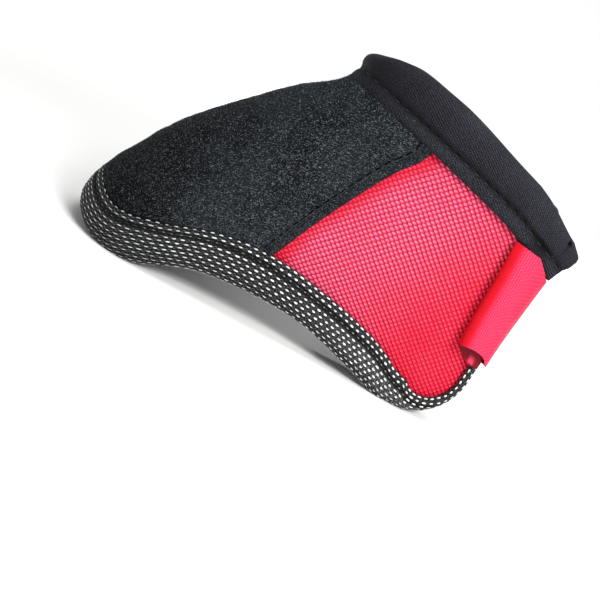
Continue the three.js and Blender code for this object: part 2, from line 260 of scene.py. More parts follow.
wallForm = Form(
    thickness=5.0,
    seat=0.3,  # gap to the pieces sewn on
    lap=11.0,  # how far the flap lies outside the heel's bend
    underlap=45.0,  # covered end, before that bend
    underlapShare=0.28,
    corner=27.0,  # the flap's length and the radius of its lower corner
    curl=4.0,  # how far its free edge turns in
    pastEdge=6.0,
    hem=5.5,  # how far the collar's hem reaches down
    panelSeams=(2.6, 4.4),  # places on the run where the toe panel ends
    rimAt=(0.0, 0.15, 0.3, 0.37, 0.44, 0.52, 0.7, 0.9, 1.1, 1.3, 1.44, 1.5, 2.5),  # from the toe's middle
    rimRise=(9.5, 7.0, 1.5, 0.0, 0.0, 2.0, 12.5, 15.7, 14.2, 6.4, 0.0, 0.0, 0.0),
    rimBase=1.3,
    seamAtToe=131.3,  # heights of the collar's seam
    seamAtHeel=107.8,
    seamDrop=7.0,  # its fall along the flap, and where
    seamDropAt=(4.5, 6.5),
    centring=-3.18,
    share=(0.0, 0.2, 0.4, 0.6, 0.8, 0.9, 1.0),  # sections, from rim to collar seam
    toeX=(-108.2, -100.2, -85.5, -63.5, -37.5, -20.5, -10.5),
    heelX=(94.0, 94.0, 94.0, 94.5, 96.0, 97.0, 98.5),
    toeR=(39.5, 37.5, 34.5, 31.0, 27.0, 24.5, 21.5),
    heelR=15.0,
    bow=(-1.0, -0.5, 0.0, 0.5, 1.0, 1.5, 2.0),  # how far the sides swell
)
half = wallForm.thickness / 2
toeMiddle = 3.5  # run: 0 covered end, 1 heel bend, 2 far side, 3 toe, 4 near side, 5 flap, 6 past its edge
flapStart = 5.0
freeEdge = 6.0
runEnd = 7.0
seamFall = (wallForm.seamAtHeel - wallForm.seamAtToe) / (wallForm.heelX[-1] - wallForm.toeX[-1])
seamNormal = np.array([-seamFall, 0.0, 1.0]) / math.hypot(seamFall, 1.0)


def together(*values):
    return np.broadcast_arrays(*(np.asarray(value, float) for value in values))


def column(at, values, place):  # a cubic through the rows, sloped as their neighbours lie
    at, values, place = (np.asarray(numbers, float) for numbers in (at, values, place))
    rows = np.arange(len(at))
    before = np.maximum(rows - 1, 0)
    after = np.minimum(rows + 1, len(at) - 1)
    slope = (values[after] - values[before]) / (at[after] - at[before])
    k = np.clip(np.searchsorted(at, place, side="right") - 1, 0, len(at) - 2)
    span = at[k + 1] - at[k]
    s = np.clip((place - at[k]) / span, 0.0, 1.0)
    fromStart = (1 + 2 * s) * (1 - s) ** 2 * values[k] + s * (1 - s) ** 2 * span * slope[k]
    fromEnd = s * s * (3 - 2 * s) * values[k + 1] + s * s * (s - 1) * span * slope[k + 1]
    return fromStart + fromEnd


def smooth(low, high, value):  # soft step from 0 at low to 1 at high
    s = np.clip((value - low) / (high - low), 0.0, 1.0)
    return s * s * (3 - 2 * s)


def bell(value, middle, width):  # 1 at the middle, falling off on both sides
    return np.exp(-(((value - middle) / width) ** 2))


def unit(vectors):
    return vectors / np.linalg.norm(vectors, axis=-1, keepdims=True)


# Middle of the wall seen from above: a circle at toe and heel, the tangent between them on the far
# side, and on the near side the tangent that passes the heel circle at the lap's distance.
def planAt(along, share):
    w = wallForm
    toeX, heelX, toeR, bow = (column(w.share, w[key], share) for key in ("toeX", "heelX", "toeR", "bow"))
    toe = np.stack([toeX + toeR, np.zeros_like(toeX)])
    heel = np.stack([heelX - w.heelR, np.zeros_like(toeX)])
    farX = (toeR - w.heelR) / (heel[0] - toe[0])
    far = np.stack([farX, np.sqrt(1 - farX**2)])
    nearX = (toeR - w.heelR - w.lap) / (heel[0] - toe[0])
    near = np.stack([nearX, -np.sqrt(1 - nearX**2)])
    aside = np.stack([-near[1], near[0]])
    k = np.minimum(np.floor(along), runEnd - 1)
    f = along - k
    nearAngle = np.arctan2(near[1], near[0])
    farAngle = np.arctan2(far[1], far[0])
    heelAngle = nearAngle + (farAngle - nearAngle) * f
    toeAngle = farAngle + (nearAngle + 2 * np.pi - farAngle) * f
    bulge = bow * np.sin(np.pi * f) ** 2
    flapR = w.heelR + w.lap
    past = np.where(k == flapStart, f * w.corner, w.corner + f * w.pastEdge)
    turnedIn = flapR - w.curl * (past / w.corner) ** 2
    return np.select([k == 0, k == 1, k == 2, k == 3, k == 4, k >= 5], [
        heel + w.heelR * near + (f - 1) * w.underlap * aside,
        heel + w.heelR * np.stack([np.cos(heelAngle), np.sin(heelAngle)]),
        (heel + w.heelR * far) * (1 - f) + (toe + toeR * far) * f + bulge * far,
        toe + toeR * np.stack([np.cos(toeAngle), np.sin(toeAngle)]),
        (toe + toeR * near) * (1 - f) + (heel + flapR * near) * f + bulge * near,
        heel + turnedIn * near + past * aside,
    ])


def rimHeight(along):  # lifted toe, feet beside it, arched sides and a flat heel
    w = wallForm
    covered = flapStart - toeMiddle - w.underlapShare * (1 - along)
    fromToe = np.where(along < 1.0, covered, np.abs(along - toeMiddle))
    return w.rimBase + np.maximum(column(w.rimAt, w.rimRise, fromToe), 0.0)


def wallPoint(along, share):  # middle of the wall at a place on its run and a share of its height
    along, share = together(along, share)
    w = wallForm
    x, y = planAt(along, share)
    topX, _ = planAt(along, np.ones_like(share))
    seam = w.seamAtToe + seamFall * (topX - w.toeX[-1]) - w.seamDrop * smooth(*w.seamDropAt, along)
    return np.stack([x + w.centring, y, rimHeight(along) * (1 - share) + seam * share], -1)


def wallFrame(along, share):  # directions along the run, up the wall and out of it, and its full length
    along, share = together(along, share)
    nudge = 1e-3
    ahead = wallPoint(np.minimum(along + nudge, runEnd - nudge), share)
    run = unit(ahead - wallPoint(np.maximum(along - nudge, 0.0), share))
    high = np.minimum(share + nudge, 1.0)
    low = np.maximum(share - nudge, 0.0)
    climb = wallPoint(along, high) - wallPoint(along, low)
    up = unit(climb)
    return run, up, unit(np.cross(run, up)), np.linalg.norm(climb, axis=-1) / (high - low)


def wallLength(along, share=0.0):
    return wallFrame(along, share)[3]


creaseForm = Form(
    heldAtEnds=0.35,  # share of the depth left where a fold runs out
    rows=(  # soft folds: side, from (x, z), to (x, z), half width, depth; a ridge is negative
        ("near", (88.0, 36.0), (22.0, 30.0), 9.0, 0.9),
        ("near", (70.0, 62.0), (14.0, 52.0), 12.0, -0.8),
        ("near", (66.0, 92.0), (24.0, 100.0), 8.0, 0.8),
        ("near", (-88.0, 34.0), (-34.0, 96.0), 13.0, 1.1),
        ("near", (-58.0, 38.0), (-6.0, 74.0), 14.0, -1.0),
        ("near", (-20.0, 60.0), (10.0, 108.0), 9.0, 0.7),
        ("far", (74.0, 40.0), (10.0, 34.0), 10.0, 1.2),
        ("far", (66.0, 66.0), (-6.0, 60.0), 12.0, -1.0),
        ("far", (-84.0, 30.0), (-26.0, 98.0), 13.0, 1.3),
        ("far", (40.0, 104.0), (82.0, 84.0), 8.0, 1.0),
        ("heel", (94.0, 38.0), (94.0, 42.0), 7.0, 1.4),
        ("heel", (94.0, 60.0), (94.0, 57.0), 6.0, -0.9),
        ("heel", (94.0, 76.0), (94.0, 74.0), 6.0, 1.2),
        ("toe", (-90.0, 58.0), (-90.0, 62.0), 12.0, 0.8),
        ("toe", (-50.0, 92.0), (-50.0, 98.0), 9.0, 0.9),
        ("toe", (-70.0, 36.0), (-70.0, 122.0), 6.0, 2.8),
        ("toe", (-90.0, 36.0), (-90.0, 56.0), 8.0, 1.8),
    ),
)


# A fold's depth falls off as a bell with distance from its line, and towards the line's ends.
def creaseDepth(point, out):
    x = point[..., 0]
    z = point[..., 2]
    facing = {"near": -out[..., 1], "far": out[..., 1], "heel": out[..., 0], "toe": -out[..., 0]}
    held = creaseForm.heldAtEnds
    total = np.zeros_like(x)
    for side, start, end, width, depth in creaseForm.rows:
        fromX = (x if side in ("near", "far") else start[0]) - start[0]
        fromZ = z - start[1]
        runX = end[0] - start[0]
        runZ = end[1] - start[1]
        t = np.clip((fromX * runX + fromZ * runZ) / (runX**2 + runZ**2), 0.0, 1.0)
        away = np.hypot(fromX - t * runX, fromZ - t * runZ)
        fading = held + (1 - held) * np.sin(np.pi * t)
        total += depth * bell(away, 0.0, width) * fading * np.clip(facing[side], 0.0, 1.0) ** 2
    return total


def offWall(along, share, off):  # a distance outside (+) or inside (-) the softly creased middle of the wall
    point = wallPoint(along, share)
    out = wallFrame(along, share)[2]
    return point + out * (off - creaseDepth(point, out))[..., None]


def flapPlace(inward):  # place on the run, that far in from the flap's free edge
    return freeEdge - inward / np.where(inward >= 0, wallForm.corner, wallForm.pastEdge)


def lowerShare(along):  # the wall's lower edge, which only the flap's round corner raises
    turn = np.clip(along - flapStart, 0.0, 1.0)
    return wallForm.corner * (1 - np.sqrt(1 - turn**2)) / wallLength(along)


def bent(height, waves, phases, *places):  # smooth uneven wobble: a sum of slanted waves
    total = np.zeros(np.broadcast(*places).shape)
    for (a, b), phase in zip(waves, phases):
        total += np.sin(2 * np.pi * (places[0] / a + places[1] / b) + phase)
    return height * total / len(waves)


def spacedRun(steps, last):  # stations on each whole stretch of the run, up to the last one
    places = [np.linspace(k, min(k + 1, last), count, endpoint=False) for k, count in enumerate(steps)]
    return np.concatenate([*places, [last]])


def reachAlong(line, taken=1.0):  # distance from the first of a row of points to each of them
    strides = np.linalg.norm(np.diff(line, axis=0), axis=-1) * taken
    return np.concatenate([np.zeros_like(strides[:1]), np.cumsum(strides, 0)])


# Meshes from arrays

def gridQuads(stations, rows):
    i, j = np.meshgrid(np.arange(stations - 1), np.arange(rows - 1), indexing="ij")
    a = i * rows + j
    return np.stack([a, a + rows, a + rows + 1, a + 1], -1).reshape(-1, 4)


def makePiece(name, points, groups, materials, kinds=None, uv=None, uvFaces=None, crease=None, marks=None):
    sizes = np.concatenate([np.full(len(group), group.shape[1]) for group in groups])
    corners = np.concatenate([group.ravel() for group in groups])
    mesh = bpy.data.meshes.new(name)
    mesh.vertices.add(len(points))
    mesh.vertices.foreach_set("co", (points * mm).astype(np.float32).ravel())
    mesh.loops.add(len(corners))
    mesh.loops.foreach_set("vertex_index", corners.astype(np.int32))
    mesh.polygons.add(len(sizes))
    mesh.polygons.foreach_set("loop_start", (np.cumsum(sizes) - sizes).astype(np.int32))
    for material in materials:
        mesh.materials.append(material)
    if kinds is not None:  # which material each face has
        mesh.polygons.foreach_set("material_index", kinds.astype(np.int32))
    mesh.update(calc_edges=True)
    if uv is not None:
        layer = mesh.uv_layers.new(name="cloth")
        places = corners if uvFaces is None else uvFaces
        layer.data.foreach_set("uv", (uv[places] * mm).astype(np.float32).ravel())
    for label, values in (marks or {}).items():
        attribute = mesh.attributes.new(label, "FLOAT", "POINT")
        attribute.data.foreach_set("value", np.asarray(values, np.float32).ravel())
    mesh.validate()
    mesh.shade_smooth()
    if crease is not None:
        mesh.set_sharp_from_angle(angle=math.radians(crease))
    piece = addObject(name, mesh)
    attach(piece, "root")
    print("made", name, "with", int((sizes - 2).sum()), "triangles")
    return piece


# A skin between two grids of points, closed round its edges. The first material is for the outer
# face and the last for the rest; each mark has the values of both grids.
def makeSkin(name, outer, inner, materials, crease, uv, marks=None):
    stations, rows = outer.shape[:2]
    count = stations * rows
    low = np.arange(stations) * rows
    high = low + rows - 1
    first = np.arange(rows)
    last = count - rows + first
    sides = ((low, low + count), (high + count, high), (first + count, first), (last, last + count))
    edges = [np.stack([a[:-1], b[:-1], b[1:], a[1:]], -1) for a, b in sides]
    face = gridQuads(stations, rows)
    faces = np.concatenate([face, face[:, ::-1] + count, *edges])
    kinds = np.where(np.arange(len(faces)) < len(face), 0, len(materials) - 1)
    points = np.concatenate([outer.reshape(-1, 3), inner.reshape(-1, 3)])
    flat = np.stack(np.broadcast_arrays(*uv), -1).reshape(-1, 2)
    return makePiece(name, points, [faces], materials, kinds, np.tile(flat, (2, 1)), None, crease, marks)


# Short rounded bars laid on a surface: rings of a rounded bar between two pointed ends, arched along
# its length. They keep clear of the floor.
def makeBars(name, material, laid, size, sink, shade=None):
    centres, runs, outs = laid
    length, width, height = (np.broadcast_to(value, len(centres))[:, None] for value in size)
    floorGap = 0.02
    sides = 6
    rings = (-0.62, 0.0, 0.62)
    fat = np.array([[0.8], [1.0], [0.8]])
    angle = np.arange(sides) * 2 * np.pi / sides
    a = np.concatenate([[-1.0], np.repeat(rings, sides), [1.0]])
    b = np.concatenate([[0.0], (fat * np.cos(angle)).ravel(), [0.0]])
    h = np.concatenate([[0.0], (fat * np.sin(angle)).ravel(), [0.0]])
    points = (
        centres[:, None]
        + runs[:, None] * (a * length / 2)[..., None]
        + np.cross(outs, runs)[:, None] * (b * width / 2)[..., None]
        + outs[:, None] * ((h + 2 * (1 - a**2)) * height / 2 - sink)[..., None]
    ).reshape(-1, 3)
    points[:, 2] = np.maximum(points[:, 2], floorGap)
    ring = 1 + np.arange(sides)
    following = np.roll(ring, -1)
    belt = np.stack([ring, following, following + sides, ring + sides], -1)
    tips = np.concatenate([
        np.stack([np.zeros(sides, int), following, ring], -1),
        np.stack([ring + 2 * sides, following + 2 * sides, np.full(sides, len(a) - 1)], -1),
    ])
    shift = (np.arange(len(centres)) * len(a))[:, None, None]
    quads = np.concatenate([belt, belt + sides]) + shift
    marks = None if shade is None else {"shade": np.repeat(shade, len(a))}
    groups = [quads.reshape(-1, 4), (tips + shift).reshape(-1, 3)]
    piece = makePiece(name, points, groups, [material], marks=marks)
    return piece


def threadFinish():  # dark, unevenly twisted
    material, start = startFinish("darkThread")
    twist = objectPlace(start).spots(1800.0, 1.0)
    return closeFinish(material, start, twist.tint(dye(8, 8, 9), dye(30, 31, 33)), 0.6, 0.5, twist, 0.08)


# Red nylon wall with a dark lining

shellForm = Form(
    steps=(16, 20, 84, 56, 100, 22),  # stations on each stretch of the run
    rows=60,
    pull=0.7,  # how far seams draw the cloth in, and over what distance
    pullReach=5.0,
    panelPull=0.5,
    fill=0.45,
)
nylonForm = Form(
    rowPitch=2.06,  # lumps of the weave along its two slanted rows
    rowAngle=46.0,
    columnPitch=2.3,
    columnAngle=-40.0,
    gap=((180, 3, 33), (150, 8, 42)),  # deep, and in the painted sheen band
    yarn=((216, 10, 44), (232, 72, 106)),
    # top: the painted highlight on each lump's crown
    top=((242, 50, 82), (252, 128, 158)),
    slant=0.34,  # how far a lump turns across its row
    crownAt=(-0.08, -0.14),  # where in its cell each lump's painted highlight lies
    notchAt=(0.36, 0.26),  # and the painted shade in the corner that the next lump shades
    rowFurrows=(18.0, 52.0),  # distances from the panel's seam over which rows give way to columns
    # painted sheen band: distances from the panel's seam over which it comes in and fades out
    sheenStarts=(0.0, 9.0),
    sheenEnds=(26.0, 80.0),
    relief=0.5,
)


def nylonFinish():  # a slanted lattice with a pillow on each cell, a painted highlight on each crown, painted shade in the corner below it, and a painted sheen band
    form = nylonForm
    material, start = startFinish("redNylon")
    u, v = clothPlace(start)
    cloth = u.beside(v)
    wobble = cloth.spots(0.12) - 0.5
    turns = np.radians([form.rowAngle, form.columnAngle])
    pitches = np.array([form.rowPitch, form.columnPitch])
    lattice = np.linalg.inv([pitches * np.cos(turns), pitches * np.sin(turns)]).tolist()
    m = u * lattice[0][0] + v * lattice[0][1] + wobble * 0.4
    n = u * lattice[1][0] + v * lattice[1][1] + wobble * 0.3
    rank = (m + 0.5).floor()
    a = m - rank
    turned = n - form.slant * a
    row = (turned + 0.5).floor()
    b = turned - row
    cell = {"Vector": rank.beside(row)}
    uneven = start.node("ShaderNodeTexWhiteNoise", {"noise_dimensions": "2D"}, cell)
    seam = mark(start, "fromSeam")
    columns = seam.step(*form.rowFurrows)
    lump = (1 - 4.0 * a * a) ** (0.55 + 0.3 * columns) * (1 - 4.0 * b * b) ** (0.55 - 0.25 * columns)
    # painted highlight on each lump's crown, and painted shade in the corner that the next lump shades
    beside = a - form.crownAt[0]
    raised = b - form.crownAt[1]
    crown = (1 - (7.5 + 2.5 * columns) * beside * beside - (8.0 - 3.0 * columns) * raised * raised).kept()
    across = a - form.notchAt[0]
    below = b - form.notchAt[1]
    notch = (1 - 15.0 * across * across - 12.0 * below * below).kept()
    # painted sheen: a band beside the panel's seam, with a broad random tone over it
    broad = cloth.spots(0.03, 3.0)
    band = seam.step(*form.sheenStarts) * (1 - seam.step(*form.sheenEnds))
    paintedLight = (band * 0.8 + (broad - 0.5) * 0.5 + 0.1).kept()
    gap, yarn, top = (paintedLight.tint(*(dye(*shade) for shade in form[key])) for key in ("gap", "yarn", "top"))
    body = lump.step(0.12, 0.78).tint(gap, yarn)
    highlighted = (crown * (0.65 + 0.4 * uneven)).tint(body, top)
    colour = (notch * (0.5 + 0.35 * uneven)).tint(highlighted, gap)
    threads = ((m + n) * 9.0).beside((m - n) * 1.5).spots(1.0, 1.0)
    relief = lump + 0.08 * threads
    gloss = sheen(0.02, 0.4, (255, 190, 196))
    return closeFinish(material, start, colour, 0.62 - 0.15 * lump, 0.15, relief, form.relief, gloss)


def liningFinish():  # crossed fine ribs
    material, start = startFinish("darkLining")
    u, v = clothPlace(start)
    rib = (u / 1.1 + v / 2.4).wave() * (u / 1.1 - v / 2.4).wave()
    colour = objectPlace(start).spots(60.0, 3.0).tint(dye(28, 29, 32), dye(50, 51, 56))
    return closeFinish(material, start, colour, 0.9 - 0.1 * rib, 0.2, rib, 0.12)


def edgeDistance(along, share):  # how far in from the wall's lower edge, round corner or free edge
    corner = wallForm.corner
    inward = np.where(along > flapStart, (freeEdge - along) * corner, 2 * corner)
    climb = share * wallLength(along)
    aside = np.maximum(corner - inward, 0.0)
    reach = np.hypot(aside, np.maximum(corner - climb, 0.0))
    inCorner = (inward < corner) & (climb < corner)
    at = np.where(inCorner, flapStart + aside / np.maximum(reach, 1e-6), np.minimum(along, flapStart))
    at = np.where((inward < corner) & ~inCorner, freeEdge, at)
    return np.where(inCorner, corner - reach, np.minimum(inward, climb)), at


def makeShell():  # the wall's two faces, the outer one drawn in beside tape, hem and panel
    form = shellForm
    turns = np.linspace(0.0, np.pi / 2, form.steps[-1])
    stations = np.concatenate([spacedRun(form.steps[:-1], flapStart), flapStart + np.sin(turns[1:])])
    low = lowerShare(stations)[:, None]
    along, share = together(stations[:, None], low + (1 - low) * np.linspace(0.0, 1.0, form.rows + 1))
    toEdge, tapeAt = edgeDistance(along, share)
    toTape = toEdge - column(tapeForm.at, tapeForm.face, tapeAt)
    toHem = (1 - share) * wallLength(along, 1.0) - wallForm.hem
    middle = wallPoint(along, share)
    run = reachAlong(middle[..., :2])
    farSeam, nearSeam = (run[np.argmin(np.abs(stations - seam))] for seam in wallForm.panelSeams)
    fromPanel = np.where(along > toeMiddle, run - nearSeam, farSeam - run)
    draws = ((toTape, form.pull), (toHem, form.pull), (fromPanel, form.panelPull))
    pull = sum(depth * np.exp(-np.maximum(far, 0.0) / form.pullReach) for far, depth in draws)
    outer = offWall(along, share, half - pull)
    inner = offWall(along, share, np.full_like(along, -half))
    heelStart, flapAt = np.searchsorted(stations, (1.0, flapStart))
    uv = (run - np.where(along < toeMiddle, run[heelStart], run[flapAt]), middle[..., 2])
    materials = [nylonFinish(), liningFinish()]
    piece = makeSkin("padded_wall", outer, inner, materials, 50.0, uv, {"fromSeam": [fromPanel] * 2})
    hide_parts("shell")


# Brushed toe panel

panelForm = Form(
    seamUp=(0.0, 0.17, 0.3, 0.45, 0.6, 0.75, 0.85, 1.0),  # shares of the height, where the seams bend in
    seamBend=(0.034, 0.022, 0.007, 0.0, 0.003, 0.011, 0.018, 0.027),
    edgeSteps=26,
    edgeZone=13.0,
    middleSteps=130,
    rows=92,
    thickness=1.4,
    backGap=0.05,  # to the wall
    tuckedUnder=1.5,  # below the tape's upper edge and the collar's hem
    foldSwell=0.5,  # folded edge: how far it stands up, where and how broad
    foldAt=3.2,
    foldWidth=2.2,
    edgeRound=1.3,
    grooveAt=6.3,  # sewn line, measured in from the seam
    grooveDepth=1.0,
    grooveWidth=0.7,
    puff=0.5,
    puffReach=12.0,
    tuck=0.5,  # how far the tape and the hem hold it down, and over what distance
    tuckReach=4.0,
    lumps=0.16,
    lumpWaves=((7.0, 11.0), (-9.0, 6.0), (5.0, -13.0), (16.0, 9.0), (-6.5, -8.0)),
    stitch=3.9,
    stitchSize=(3.1, 0.45, 0.3),  # length, width and height, and how far it is drawn in
    stitchSink=0.12,
    flat=(0.285, 0.128),  # cut size in metres
    cutArea=0.0262,
    fibres=46000,
    fibreLength=(0.4, 1.1),
    fibreWidth=0.16,
    fibreSink=0.05,
    napClear=(0.5, 0.55),  # bare at the panel's edge and beside the sewn line
    napLean=(math.pi / 2, 0.65),  # on the folded strip and elsewhere: angle, its spread, length and lift
    napSpread=(0.5, 1.25),
    napShare=(0.8, 1.0),
    napLift=(0.12, 0.3),
    paler=(-0.1, -0.01),  # painted light: metres along the boot over which the nap turns paler, away from the toe
    lint=24,
)


def loopFinish():  # curled loops and streaks, with a folded strip and its sewn line beside each seam, painted highlights on the fold's edge and the ridge beside the sewn line, and painted shade in its groove
    form = panelForm
    material, start = startFinish("brushedLoop")
    place = objectPlace(start)
    u, v = clothPlace(start)
    inward = mark(start, "inward")
    strip = 1 - inward.step(form.grooveAt - 0.6, form.grooveAt + 0.6)
    curls = (u * 0.8 + v * 0.25).beside(v * 1.15 - u * 0.3).spots(1.3, 3.0, 0.65)
    streaks = (u * 0.35 - v * 0.3).beside(v * 1.4 + u * 0.9).spots(1.3, 2.0, 0.6)
    cloud = place.spots(38.0, 3.0)
    nap = curls * 0.6 + streaks * 0.4
    light = nap.step(0.5, 0.72)
    # painted light: the ground and loops turn paler away from the toe
    paintedLight = place.parts()[0].step(*form.paler)
    dark = (cloud.step(0.3, 0.7) * (0.5 + 0.9 * paintedLight)).kept().tint(dye(6, 6, 7), dye(24, 27, 30))
    loops = (light * (0.55 + 0.3 * paintedLight)).tint(dark, dye(72, 78, 82))
    folded = (strip * 0.5).tint(loops, (light * 0.6 + 0.1).tint(dye(16, 18, 20), dye(60, 64, 70)))
    # painted highlight on the folded edge and on the ridge beside the sewn line; painted shade in the sewn
    # groove
    foldHighlighted = (inward.near(1.7, 0.3, 1.5) * light * 0.4).tint(folded, dye(84, 90, 98))
    ridge = inward.near(form.grooveAt - 0.7, 0.1, 0.36)
    ridgeHighlighted = (ridge * (0.15 + 0.4 * light)).tint(foldHighlighted, dye(96, 102, 106))
    colour = inward.near(form.grooveAt, 0.18, 0.5).tint(ridgeHighlighted, dye(2, 2, 3))
    gloss = sheen(0.03, 0.5, (190, 198, 204))
    return closeFinish(material, start, colour, 0.96 - 0.1 * light, 0.03, nap, 0.8, gloss)


def fibreFinish():  # from near black to grey, as each fibre is marked, and paler away from the toe by painted light
    material, start = startFinish("napFibre")
    paintedLight = objectPlace(start).parts()[0].step(*panelForm.paler)
    colour = (mark(start, "shade") * (0.85 + 0.45 * paintedLight)).tint(dye(11, 12, 13), dye(140, 148, 154))
    return closeFinish(material, start, colour, 0.85, 0.1)


def panelSeams(share):  # places of the far and the near seam, at a share of the height
    bend = column(panelForm.seamUp, panelForm.seamBend, share)
    far, near = wallForm.panelSeams
    return far + bend, near - bend


def runPace(along, share):  # millimetres for each whole place on the run
    step = 5e-4
    stride = wallPoint(along + step, share) - wallPoint(along - step, share)
    return np.linalg.norm(stride, axis=-1) / (2 * step)


def panelEdges(along, share):  # distance in from the panel's two seams
    far, near = panelSeams(share)
    return np.minimum(near - along, along - far) * runPace(along, share)


def panelLimits(along):  # shares of the height at the tape's upper edge and the collar's hem
    low = (column(tapeForm.at, tapeForm.face, along) - panelForm.tuckedUnder) / wallLength(along)
    return low, 1 - (wallForm.hem - panelForm.tuckedUnder) / wallLength(along, 1.0)


# Height of the panel's face over the middle of the wall: a rounded folded edge, the sewn groove
# with its puckers, a soft swell inside it, and a tuck where the tape and the hem hold it down.
def panelHeight(along, share):
    form = panelForm
    low, high = panelLimits(along)
    edge = panelEdges(along, share)
    climb = (share - low) * wallLength(along)
    fall = (high - share) * wallLength(along, 1.0)
    rounding = form.thickness * np.clip(1 - edge / form.edgeRound, 0.0, 1.0) ** 2
    fold = form.foldSwell * bell(edge, form.foldAt, form.foldWidth)
    pucker = 0.8 + 0.2 * np.cos(2 * np.pi * climb / form.stitch)
    groove = form.grooveDepth * pucker * bell(edge, form.grooveAt, form.grooveWidth)
    puff = form.puff * smooth(form.grooveAt, form.grooveAt + form.puffReach, edge)
    held = (np.exp(-np.maximum(far - form.tuckedUnder, 0.0) / form.tuckReach) for far in (climb, fall))
    lumps = bent(form.lumps, form.lumpWaves, np.arange(5) * 1.9, panelRun(along, share), climb)
    raised = half + wallForm.seat + form.thickness + fold + puff + lumps
    return raised - rounding - groove - form.tuck * sum(held)


def panelRun(along, share):  # the cloth's flat place along the boot, turned back on the far side
    farSide = along < toeMiddle
    return wallPoint(along, share)[..., 0] * np.where(farSide, -1.0, 1.0) + 200.0 * farSide


def panelPoint(along, share, raised=0.0):
    return offWall(along, share, panelHeight(along, share) + raised)


def makePanel():  # close stations beside both seams, and even ones between them
    form = panelForm
    ends = np.linspace(0.0, 1.0, form.rows + 1)
    zone = np.linspace(0.0, form.edgeZone, form.edgeSteps + 1)[:, None]

    def besideSeam(side, inwards):  # stations at fixed distances in from a seam, at every height
        low, high = panelLimits(wallForm.panelSeams[side])
        share = low + (high - low) * ends
        seam = panelSeams(share)[side]
        return seam + inwards * zone / runPace(seam, share)

    start = besideSeam(0, 1.0)
    end = besideSeam(1, -1.0)[::-1]
    blend = np.linspace(0.0, 1.0, form.middleSteps + 2)[1:-1, None]
    along = np.concatenate([start, start[-1] * (1 - blend) + end[0] * blend, end])
    low, high = panelLimits(along)
    share = low + (high - low) * ends
    outer = panelPoint(along, share)
    inner = offWall(along, share, np.full_like(along, half + form.backGap))
    uv = (panelRun(along, share), wallPoint(along, share)[..., 2])
    marks = {"inward": [panelEdges(along, share)] * 2}
    piece = makeSkin("brushed_panel", outer, inner, [loopFinish()], 60.0, uv, marks)
    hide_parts("toe_panel")
    nap = makeNap()
    stitches = makePanelStitches()


# Nap: slivers rooted on the panel, each a bent three-point ribbon that lies over and curls. On the
# folded strip beside the seams they are shorter and lie along it.
def makeNap():
    form = panelForm
    tries = 2 * form.fibres
    along = dice.uniform(*wallForm.panelSeams, tries)
    low, high = panelLimits(along)
    share = low + (high - low) * dice.uniform(0.02, 0.98, tries)
    pace = np.linalg.norm(wallPoint(along + 1e-3, share) - wallPoint(along, share), axis=-1)
    kept = np.flatnonzero(dice.uniform(0.0, 1.0, tries) < pace / pace.max())[: form.fibres]
    edge = panelEdges(along[kept], share[kept])
    inside = (edge > form.napClear[0]) & (np.abs(edge - form.grooveAt) > form.napClear[1])
    along = along[kept][inside]
    share = share[kept][inside]
    onStrip = edge[inside] < form.grooveAt
    count = len(along)
    run, up, out, _ = wallFrame(along, share)
    root = panelPoint(along, share, -form.fibreSink)
    kinds = ("napLean", "napSpread", "napShare", "napLift")
    leaning, spread, shorter, lifted = (np.where(onStrip, *form[key]) for key in kinds)
    angle = leaning + dice.normal(0.0, 1.0, count) * spread + np.pi * dice.integers(0, 2, count)
    length = dice.uniform(*form.fibreLength, count) * shorter
    lift = lifted * dice.uniform(0.4, 1.6, count)
    curled = angle + dice.normal(0.0, 0.9, count)
    first, second = (run * np.cos(turn)[:, None] + up * np.sin(turn)[:, None] for turn in (angle, curled))
    middle = root + first * (length * 0.5)[:, None] + out * (lift * 0.9)[:, None]
    drop = lift * dice.uniform(-0.5, 0.8, count)
    tip = middle + second * (length * 0.5)[:, None] - out * drop[:, None]
    wide = form.fibreWidth * dice.uniform(0.6, 1.2, count)[:, None] / 2
    firstSide = np.cross(out, first) * wide
    secondSide = np.cross(out, unit(first + second)) * wide
    points = np.stack([root - firstSide, root + firstSide, middle - secondSide, middle + secondSide, tip], 1)
    shift = (np.arange(count) * 5)[:, None]
    groups = [np.array([[0, 2, 3, 1]]) + shift, np.array([[2, 4, 3]]) + shift]
    shade = dice.beta(1.3, 3.6, count) * np.where(onStrip, 0.95, 1.0)
    shade[: form.lint] = 1.0
    marks = {"shade": np.repeat(shade, 5)}
    piece = makePiece("panel_nap", points.reshape(-1, 3), groups, [fibreFinish()], marks=marks)
    return piece


def makePanelStitches():  # dark thread in the sewn groove beside each seam
    form = panelForm
    rows = []
    for side, inwards in enumerate((1.0, -1.0)):
        seam = wallForm.panelSeams[side]
        low, high = panelLimits(seam)
        share = np.linspace(low, high, int(wallLength(seam) * (high - low) / form.stitch) + 1)
        share = (share[1:] + share[:-1]) / 2
        sewnTo = panelSeams(share)[side]
        along = sewnTo + inwards * form.grooveAt / runPace(sewnTo, share)
        point = panelPoint(along, share)
        rows.append((point, unit(np.gradient(point, axis=0)), wallFrame(along, share)[2]))
    laid = [np.concatenate(parts) for parts in zip(*rows)]
    return makeBars("panel_stitches", threadFinish(), laid, form.stitchSize, form.stitchSink)


# Woven tape round the rim and up the flap's edge

